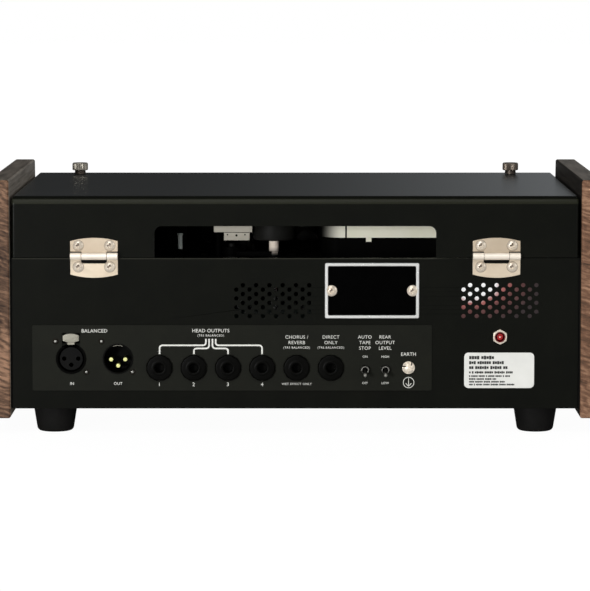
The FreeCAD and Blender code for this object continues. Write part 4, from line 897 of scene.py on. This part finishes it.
rows = [(49.6, 17.0, 2.4), (46.3, 24.0, 2.1), (43.1, 25.5, 2.1), (40.0, 29.0, 1.6), (37.6, 26.5, 1.2),
        (35.7, 18.0, 1.2), (33.9, 23.0, 1.2), (32.1, 29.5, 1.2)]     # height, length and size of each
ruled = [mark for row, (v, long, tall) in enumerate(rows) for mark in markRow(v, long, tall, row)]
piece("labelRules", ruled, labelInk)
print("inlet and plates made")


# Rear: printed legends

inkLow, inkHigh = 0.78, 0.85     # the ink's underside in the field, and its face
texts = [(str(number + 1), jackPlaces[number], 32.2, 2.5, 0.0) for number in range(4)]
texts += [("IN", 143.9, 32.7, 1.9, 0.0), ("OUT", 114.2, 32.7, 1.9, 0.0), ("BALANCED", 129.3, 66.9, 2.35, 0.0),
          ("HEAD OUTPUTS", 54.4, 67.0, 2.35, 0.0), ("EARTH", -72.9, 51.8, 2.3, 0.0)]
texts += [(text, u, v, 1.5, 0.0) for u, pair in ((-44.9, ("ON", "OFF")), (-57.9, ("HIGH", "LOW")))
          for text, v in zip(pair, (50.2, 33.1))]
columns = [(-0.9, ("CHORUS /", "REVERB")), (-22.9, ("DIRECT", "ONLY")), (-44.8, ("AUTO", "TAPE", "STOP")),
           (-57.8, ("REAR", "OUTPUT", "LEVEL"))]
texts += [(text, u, 62.9 - 3.6 * line, 2.25, -0.01) for u, lines in columns for line, text in enumerate(lines)]
texts += [("(TRS BALANCED)", u, v, 1.45, 0.0) for u, v in ((54.4, 63.95), (-0.9, 56.1), (-22.9, 56.1))]
texts += [("WET EFFECT ONLY", -0.9, 32.5, 1.45, 0.0)]


# smallest words are spaced widest, column heads a little
def spacing(capital):
    return 0.15 if capital < 1.5 else 0.07 if capital == 2.25 else 0.03


printed = [words("rear", text, u, v, capital, inkLow, 0.07, weight, spacing(capital))
           for text, u, v, capital, weight in texts]
# routing lines: down from their heads, across and down to the four numbered jacks
routes = dict(stems=(57.5563, 55.4984, 53.3119, 51.254), turns=(57.6253, 55.6207, 55.6207, 57.6253),
              ends=(87.3955, 65.2733, 43.2797, 21.4148), top=61.8283, foot=51.935, wide=1.0)
for stemU, turnV, endU in zip(routes["stems"], routes["turns"], routes["ends"]):
    corners = [(stemU, routes["top"]), (stemU, turnV), (endU, turnV), (endU, routes["foot"])]
    printed.append(bar("rear", eased(corners, 2.2, 8), routes["wide"], inkLow, inkHigh))
# earth symbol: a ring with an arrow down in it
earthMark = dict(at=(-73.0, 33.5), ring=7.2, line=0.36)
markU, markV = earthMark["at"]
printed.append(stacked("rear", (markU, markV, inkLow), roundedRing(earthMark["ring"], earthMark["ring"], 3.59, 12),
                       [(0, 0), (0, 0.07), (earthMark["line"], 0.07), (earthMark["line"], 0)], False))
printed.append(bar("rear", [(markU, 36.4), (markU, 34.0), (markU, 31.2)], earthMark["line"], inkLow, inkHigh))
printed += [bar("rear", [(markU + side * 1.8, 33.0), (markU + side * 0.9, 32.0), (markU, 31.0)], 0.4, inkLow, inkHigh)
            for side in (1, -1)]
piece("fieldLegends", printed, legendInk)
print("legends printed")


# Lid: cover, hinges, thumbscrews

for side, wood, inner in (("left", walnut, walnutPaintedShade), ("right", walnutDeep, walnutPaintedLit)):
    board = easedNode("cheek" + side.capitalize(), "cheek_" + side, wood, 0.6, 3, 30)
    dressFaces(board, walnutSide, lambda x, y, z: y < 128.0)     # all but the rear edge
    dressFaces(board, walnutFlank, lambda x, y, z: (y < 128.0) & (z > 163.0))     # the top
    dressFaces(board, inner, lambda x, y, z: (y < 128.0) & (np.abs(x) < 184.0))     # the face towards the lid: painted shade on the left board, painted light on the right
# the upper leaves take a darker copy of the nickel: painted shade
for name, node, metal, body in (("hingeLeavesLower", "hinge_leaves_lower", satinNickel, "chassis"),
                                ("hingeLeavesUpper", "hinge_leaves_upper", shadedLeafNickel, "lid")):
    leaves = easedNode(name, node, metal, 0.3, 2, 35, body)
    # painted highlight: the barrel takes a paler nickel
    dressFaces(leaves, barrelHighlightNickel, lambda x, y, z: (np.abs(z - hinges["axisV"]) < 3.2)
               & (y > rearY + hinges["axisOut"] - 0.6))
pinShape = eased([(0, 0), (hinges["pin"], 0), (hinges["pin"], hinges["wide"]), (0, hinges["wide"])], 0.2)
hingeAxis = (rearY + hinges["axisOut"], hinges["axisV"])
piece("hingePins", [turned("across", (*hingeAxis, at - hinges["wide"] / 2), pinShape, 24) for at in hinges["at"]],
      turnedSteel, ["hinge_pins"])

thumb = dict(depth=215.0, top=153.7, radius=5.5, stem=2.0, collar=2.8, head=5.2, knurls=30, bite=0.3)
brim, crownTop, full = thumb["collar"], thumb["collar"] + thumb["head"], thumb["radius"]
thumbProfile = [(0, -6), (thumb["stem"], -6), (thumb["stem"], 0.3), (4.0, 0.3), (3.7, brim - 0.3), (3.7, brim),
                (5.0, brim), (full, brim + 0.4)]
thumbProfile += [(full, h) for h in np.linspace(brim + 0.8, crownTop - 0.9, 5)]
thumbProfile += [(full, crownTop - 0.6), (4.9, crownTop), (3.6, crownTop), (3.3, crownTop - 0.25),
                 (0, crownTop - 0.25)]


# knurl: a triangle wave round the head, only where the profile is at its full radius
def knurl(t, radius, height):
    wave = np.abs(np.mod(t * thumb["knurls"] / (2 * np.pi), 1) * 2 - 1)
    return -thumb["bite"] * wave * (radius > full - 0.1)


# the left screw takes a darker copy of the knurled steel: painted shade
for side, metal in (("right", knurledSteel), ("left", knurledSteelShaded)):
    node = "thumbscrew_" + side
    low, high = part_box(node)
    centre = ((low.x + high.x) / 2 / mm, rearY - thumb["depth"], thumb["top"])
    shell = turned("top", centre, thumbProfile, thumb["knurls"] * 4, knurl)
    screw = piece("thumbScrew" + side.capitalize(), [shell], metal, [node], side + "_screw", 30.0)
    dressFaces(screw, collarSteel, lambda x, y, z: z < thumb["top"] + brim - 0.05)
print("lid hardware made")


# Feet

feet = dict(at=[(side * 156, rearY - depth) for side in (1, -1) for depth in (19, 215)], tall=16.5, hollow=9)
tread = eased([(0, feet["tall"]), (14.2, feet["tall"]), (11.8, 1.4), (10.4, 0), (8.4, 0), (8.1, 0.5), (7.5, 0.5),
               (7.2, 0), (4.6, 0), (4.6, feet["hollow"]), (0, feet["hollow"])], 1.0, 4)
piece("rubberFeet", [turned("top", (x, y, 0), tread, 64) for x, y in feet["at"]], footRubber, ["rubber_feet"])
print("feet made")


# Front: knobs, selector, lamp, meter and legends

small = dict(at=((-52, 92), (-8, 92), (36, 92), (-52, 42), (-8, 42), (36, 42)), radius=8.0, tall=14.0)
selector = dict(at=(96, 72), radius=15.0, tall=18.0)
dialTurns = np.radians(90 + 150 - np.arange(11) * 30)   # marks from seven o'clock round to five o'clock
placeTurns = np.radians(90 + 165 - np.arange(12) * 30)   # the selector's twelve places, from just left of six o'clock


# skirted knob: flutes are the fourth power of a cosine taken off the grip only
def knobShells(at, radius, tall):
    grip = radius * 0.78
    profile = [(0, -5.5), (3, -5.5), (3, 0.6), (radius, 0.6), (radius, 1.8), (grip + 0.2, 3.6)]
    profile += [(grip * (1 - 0.08 * s), 3.9 + (tall - 5.3) * s) for s in np.linspace(0, 1, 5)]
    profile += [(grip * 0.84, tall), (grip * 0.5, tall), (0, tall)]

    def flutes(t, r, height):
        return -0.12 * grip * (np.abs(np.cos(6 * t)) ** 4) * (height > 3.8) * (r > grip * 0.6)
    return [turned("fascia", (*at, 0), eased(profile, 0.35, 3), 144, flutes)]


# at rest each pointer stands at the first mark of its scale
def pointerShells(at, radius, tall, turn):
    reach = arcAt(at, radius * 0.78 * np.array([0.12, 0.5, 0.86]), turn)
    return [bar("fascia", reach, 0.9, tall - 0.4, tall + 0.06)]


for number, at in enumerate(small["at"], 1):
    body, size = "dial_" + str(number), (small["radius"], small["tall"])
    piece("dialKnob" + str(number), knobShells(at, *size), knobBakelite, ["knob_" + str(number)], body)
    piece("dialPointer" + str(number), pointerShells(at, *size, dialTurns[0]), pointerWhite, body=body)
selectorSize = (selector["at"], selector["radius"], selector["tall"])
piece("selectorKnob", knobShells(*selectorSize), knobBakelite, ["mode_selector"], "selector")
piece("selectorPointer", pointerShells(*selectorSize, placeTurns[0]), pointerWhite, body="selector")


# a figure or word of the fascia, of its capital height
def fasciaWord(text, place, capital, weight=0.0):
    return words("fascia", str(text), *place, capital, -0.02, 0.07, weight)


frontInk = []
for at in small["at"]:
    for mark, turn in enumerate(dialTurns):
        outside = 11.6 if mark % 5 == 0 else 10.9
        frontInk.append(bar("fascia", arcAt(at, np.linspace(9.6, outside, 3), turn), 0.45, -0.02, 0.05))
    frontInk += [fasciaWord(0, arcAt(at, 13.4, dialTurns[0]), 2.0),
                 fasciaWord(10, arcAt(at, 13.8, dialTurns[-1]), 2.0)]
frontInk += [fasciaWord(place, arcAt(selector["at"], 20.5, turn), 2.6, 0.01)
             for place, turn in enumerate(placeTurns, 1)]
frontInk += [fasciaWord(text, place, 2.2, 0.01) for text, place in
             (("ON", (150, 55)), ("OFF", (150, 29)), ("IN", (-146, 40.5)), ("OUT", (-112, 40.5)))]
piece("fasciaLegends", frontInk, legendInk)

bezel = eased([(3.4, -9), (3.5, -9), (3.5, 0), (5.2, 0), (5.2, 1.3), (4.8, 1.7), (3.5, 1.7), (3.4, 1.4)],
              0.12, 2, True)
lens = eased([(0, -8), (3.38, -8), (3.38, 1.5), (2.6, 2.9), (0, 3.6)], 0.3, 3)
piece("lampBezel", [turned("fascia", (*front["lamp"], 0), bezel, 48)], turnedSteel, ["pilot_lamp"])


# eight facets: a cosine of the turn, above the bezel only
def lensFacets(t, radius, height):
    return 0.12 * np.cos(8 * t) * (height > 1.2)


piece("lampLens", [turned("fascia", (*front["lamp"], 0), lens, 64, lensFacets)], lensAmber)

meter = dict(at=(-124, 80), wide=66.0, tall=50.0, swing=42, needle=24.5)
pivot = (meter["at"][0], meter["at"][1] - meter["tall"] / 2 + 12)
meterRim = [(0, 0), (0, 3.6), (0.5, 4.6), (1.5, 5.0), (4.6, 5.0), (6.0, 4.2), (6.0, -6.0), (4.3, -6.0), (4.3, 0)]


# a stack round the meter's middle
def meterStack(wide, tall, radius, perCorner, layers, solid=True):
    return stacked("fascia", (*meter["at"], 0), roundedRing(wide, tall, radius, perCorner), layers, solid)


piece("meterCase", [meterStack(meter["wide"], meter["tall"], 2.2, 6, meterRim, False),
                    meterStack(57.4, 41.4, 1.0, 3, [(0, -22), (0, -6.4), (0.3, -6.0)])], knobBakelite, ["vu_meter"])
piece("meterFace", [meterStack(54, 38, 0.5, 3, [(0, -6.1), (0, -4.0)])], meterFace)
piece("meterGlass", [meterStack(54, 38, 0.5, 3, [(0, 2.6), (0, 3.8)])], meterPane)
scaleInk = []
for mark in range(11):
    turn = math.radians(90 + meter["swing"] - mark * 8.4)
    long = 2.4 if mark % 2 == 0 else 1.4
    scaleInk.append(bar("fascia", arcAt(pivot, np.array([21.5, 22.2, 21.5 + long]), turn), 0.35, -4.0, -3.93))
scaleTurns = np.radians(np.linspace(90 + meter["swing"], 90 - meter["swing"], 33))
scaleInk.append(bar("fascia", arcAt(pivot, 21.2, scaleTurns), 0.35, -4.0, -3.93))
piece("meterScale", scaleInk, labelInk)
overload = arcAt(pivot, 20.4, np.radians(np.linspace(90 - 17, 90 - meter["swing"], 12)))
piece("meterOverload", [bar("fascia", overload, 1.1, -4.0, -3.95)], socketRed)
needle = arcAt(pivot, np.array([-3.0, 10.0, meter["needle"]]), math.radians(90 + meter["swing"]))
hub = turned("fascia", (*pivot, -3), eased([(0.85, 0), (2.2, 0), (2.2, 1.6), (0.85, 1.6)], 0.2, 2, True), 32)
piece("meterNeedle", [bar("fascia", needle, 0.45, -2.5, -2.1), hub], blackMoulding, ["vu_needle"], "meter_needle")
print("front made")


# Inside: tape path

roller = dict(at=(14.1, 64.5), bore=3.25, radius=13.5, low=120.6, high=136.0, chamfer=0.8)
flatRadius, foot, crest = roller["radius"] - roller["chamfer"], roller["low"], roller["high"]
rollerShape = eased([(roller["bore"], foot), (flatRadius, foot), (roller["radius"], foot + roller["chamfer"]),
                     (roller["radius"], crest - roller["chamfer"]), (flatRadius, crest), (roller["bore"], crest)],
                    0.3, 2, True)
piece("pinchRoller", [turned("top", (*roller["at"], 0), rollerShape, 72)], tapeRubber, ["pinch_roller"], "roller")
guide = eased([(0, 108), (3.2, 108), (3.2, 110), (1.5, 110), (1.5, 114.5), (1.5, 114.6), (1.5, 123.4), (1.9, 123.6),
               (1.9, 124.9), (0, 124.9)], 0.2)
guidePlaces = ((76.0, 60), (22, 140), (118, 98))
guides = piece("tapeGuides", [turned("top", (x, rearY - depth, 0), guide, 40) for x, depth in guidePlaces],
               guideSteel, ["guide_posts"])
# the posts' feet painted near black: painted shade
dressFaces(guides, blackAndBayShade, lambda x, y, z: z < 114.5)
bridge = easedNode("headBridge", "head_bridge", brushedAlloy, 0.35)
# the bridge's lower parts painted near black: painted shade
dressFaces(bridge, blackAndBayShade, lambda x, y, z: (z < 119.5) | ((z < 125) & ((x < 30.1) | (x > 47.1))))
piece("bridgeFace", [bar("rear", [(30.2, 123.2), (38.6, 123.2), (47.0, 123.2)], 5.6, -58.05, -57.7)], brushedAlloy)
# painted shadow: a dark line under the bridge's top bar
piece("bridgeShadowLine", [bar("rear", [(30.4, 125.7), (38.6, 125.7), (46.8, 125.7)], 0.6, -58.0, -57.6)], blackAndBayShade)
# dark discs for the block's three holes: painted shade
piece("bridgeHoleShades", [turned("rear", (x, z, -57.9), [(0, 0), (r, 0), (r, 0.25), (0, 0.25)], 16)
                      for x, z, r in ((44.7, 124.1, 0.5), (38.8, 123.6, 0.75), (33.2, 124.1, 0.5))], blackAndBayShade)
# the heads painted near black for the bay's shade; their front faces stay metal
heads = easedNode("tapeHeads", "tape_heads", blackAndBayShade, 0.3)
dressFaces(heads, latchMetal, lambda x, y, z: (y < 10.9) & (z > 114))
cartridge = easedNode("tapeCartridge", "tape_cartridge", creamShell, 0.3)
# the cover beyond the seam takes the painted shade
dressFaces(cartridge, shadedShell, lambda x, y, z: (x > -33.5) & (z > 121.8))
# the tray below the split is black, the small tab at the back is not
dressFaces(cartridge, blackAndBayShade, lambda x, y, z: (z < 121.8) & ~((x < -46.6) & (x > -50.4) & (y > 65)))
piece("cartridgeSeam", [bar("rear", [(-33.5, 121.6), (-33.5, 134), (-33.5, 145)], 1.1, -60.6, -59.95)], blackAndBayShade)
deckScrews = [crossDome("top", (x, rearY - depth, 108.0), 2.4, 0.9, 0.62, 0.16, 0.55, 0.3, 10, 32)
              for x, depth in ((61, 91), (3.2, 91), (61, 186), (-160, 91), (-160, 186))]
piece("deckScrews", deckScrews, screwSteel)


# the spindle above the arm: its column, and near its foot only the side towards the rear
def onSpindle(x, y, z):
    return (z > 110.2) & (np.abs(x - roller["at"][0]) < 3.4) & ((z > 113.2) | (y > roller["at"][1] + 4.0))


# the arm painted near black: painted shade
arm = easedNode("pinchArm", "pinch_arm", blackAndBayShade, 0.2, body="swing_arm")
dressFaces(arm, spindleSteel, onSpindle)
print("tape path made")


# CAD nodes that keep their own shape

dress = dict(
    chassis_tray=trayPaint, connector_field=fieldInk, xlr_in_shell=blackAndBayShade, xlr_out_shell=blackMoulding,
    lid_cover=lidPaint, front_fascia=fasciaPaint, pot_bodies=turnedSteel, deck_plate=trayPaint, capstan=turnedSteel,
    motor=muMetal, motor_pulley=pinBrass, drive_belt=footRubber, power_board=boardRed, audio_board=boardGreen,
)
for name, material in dress.items():
    slots = nodes[name].data.materials
    slots.clear()
    slots.append(material)
print("nodes dressed")
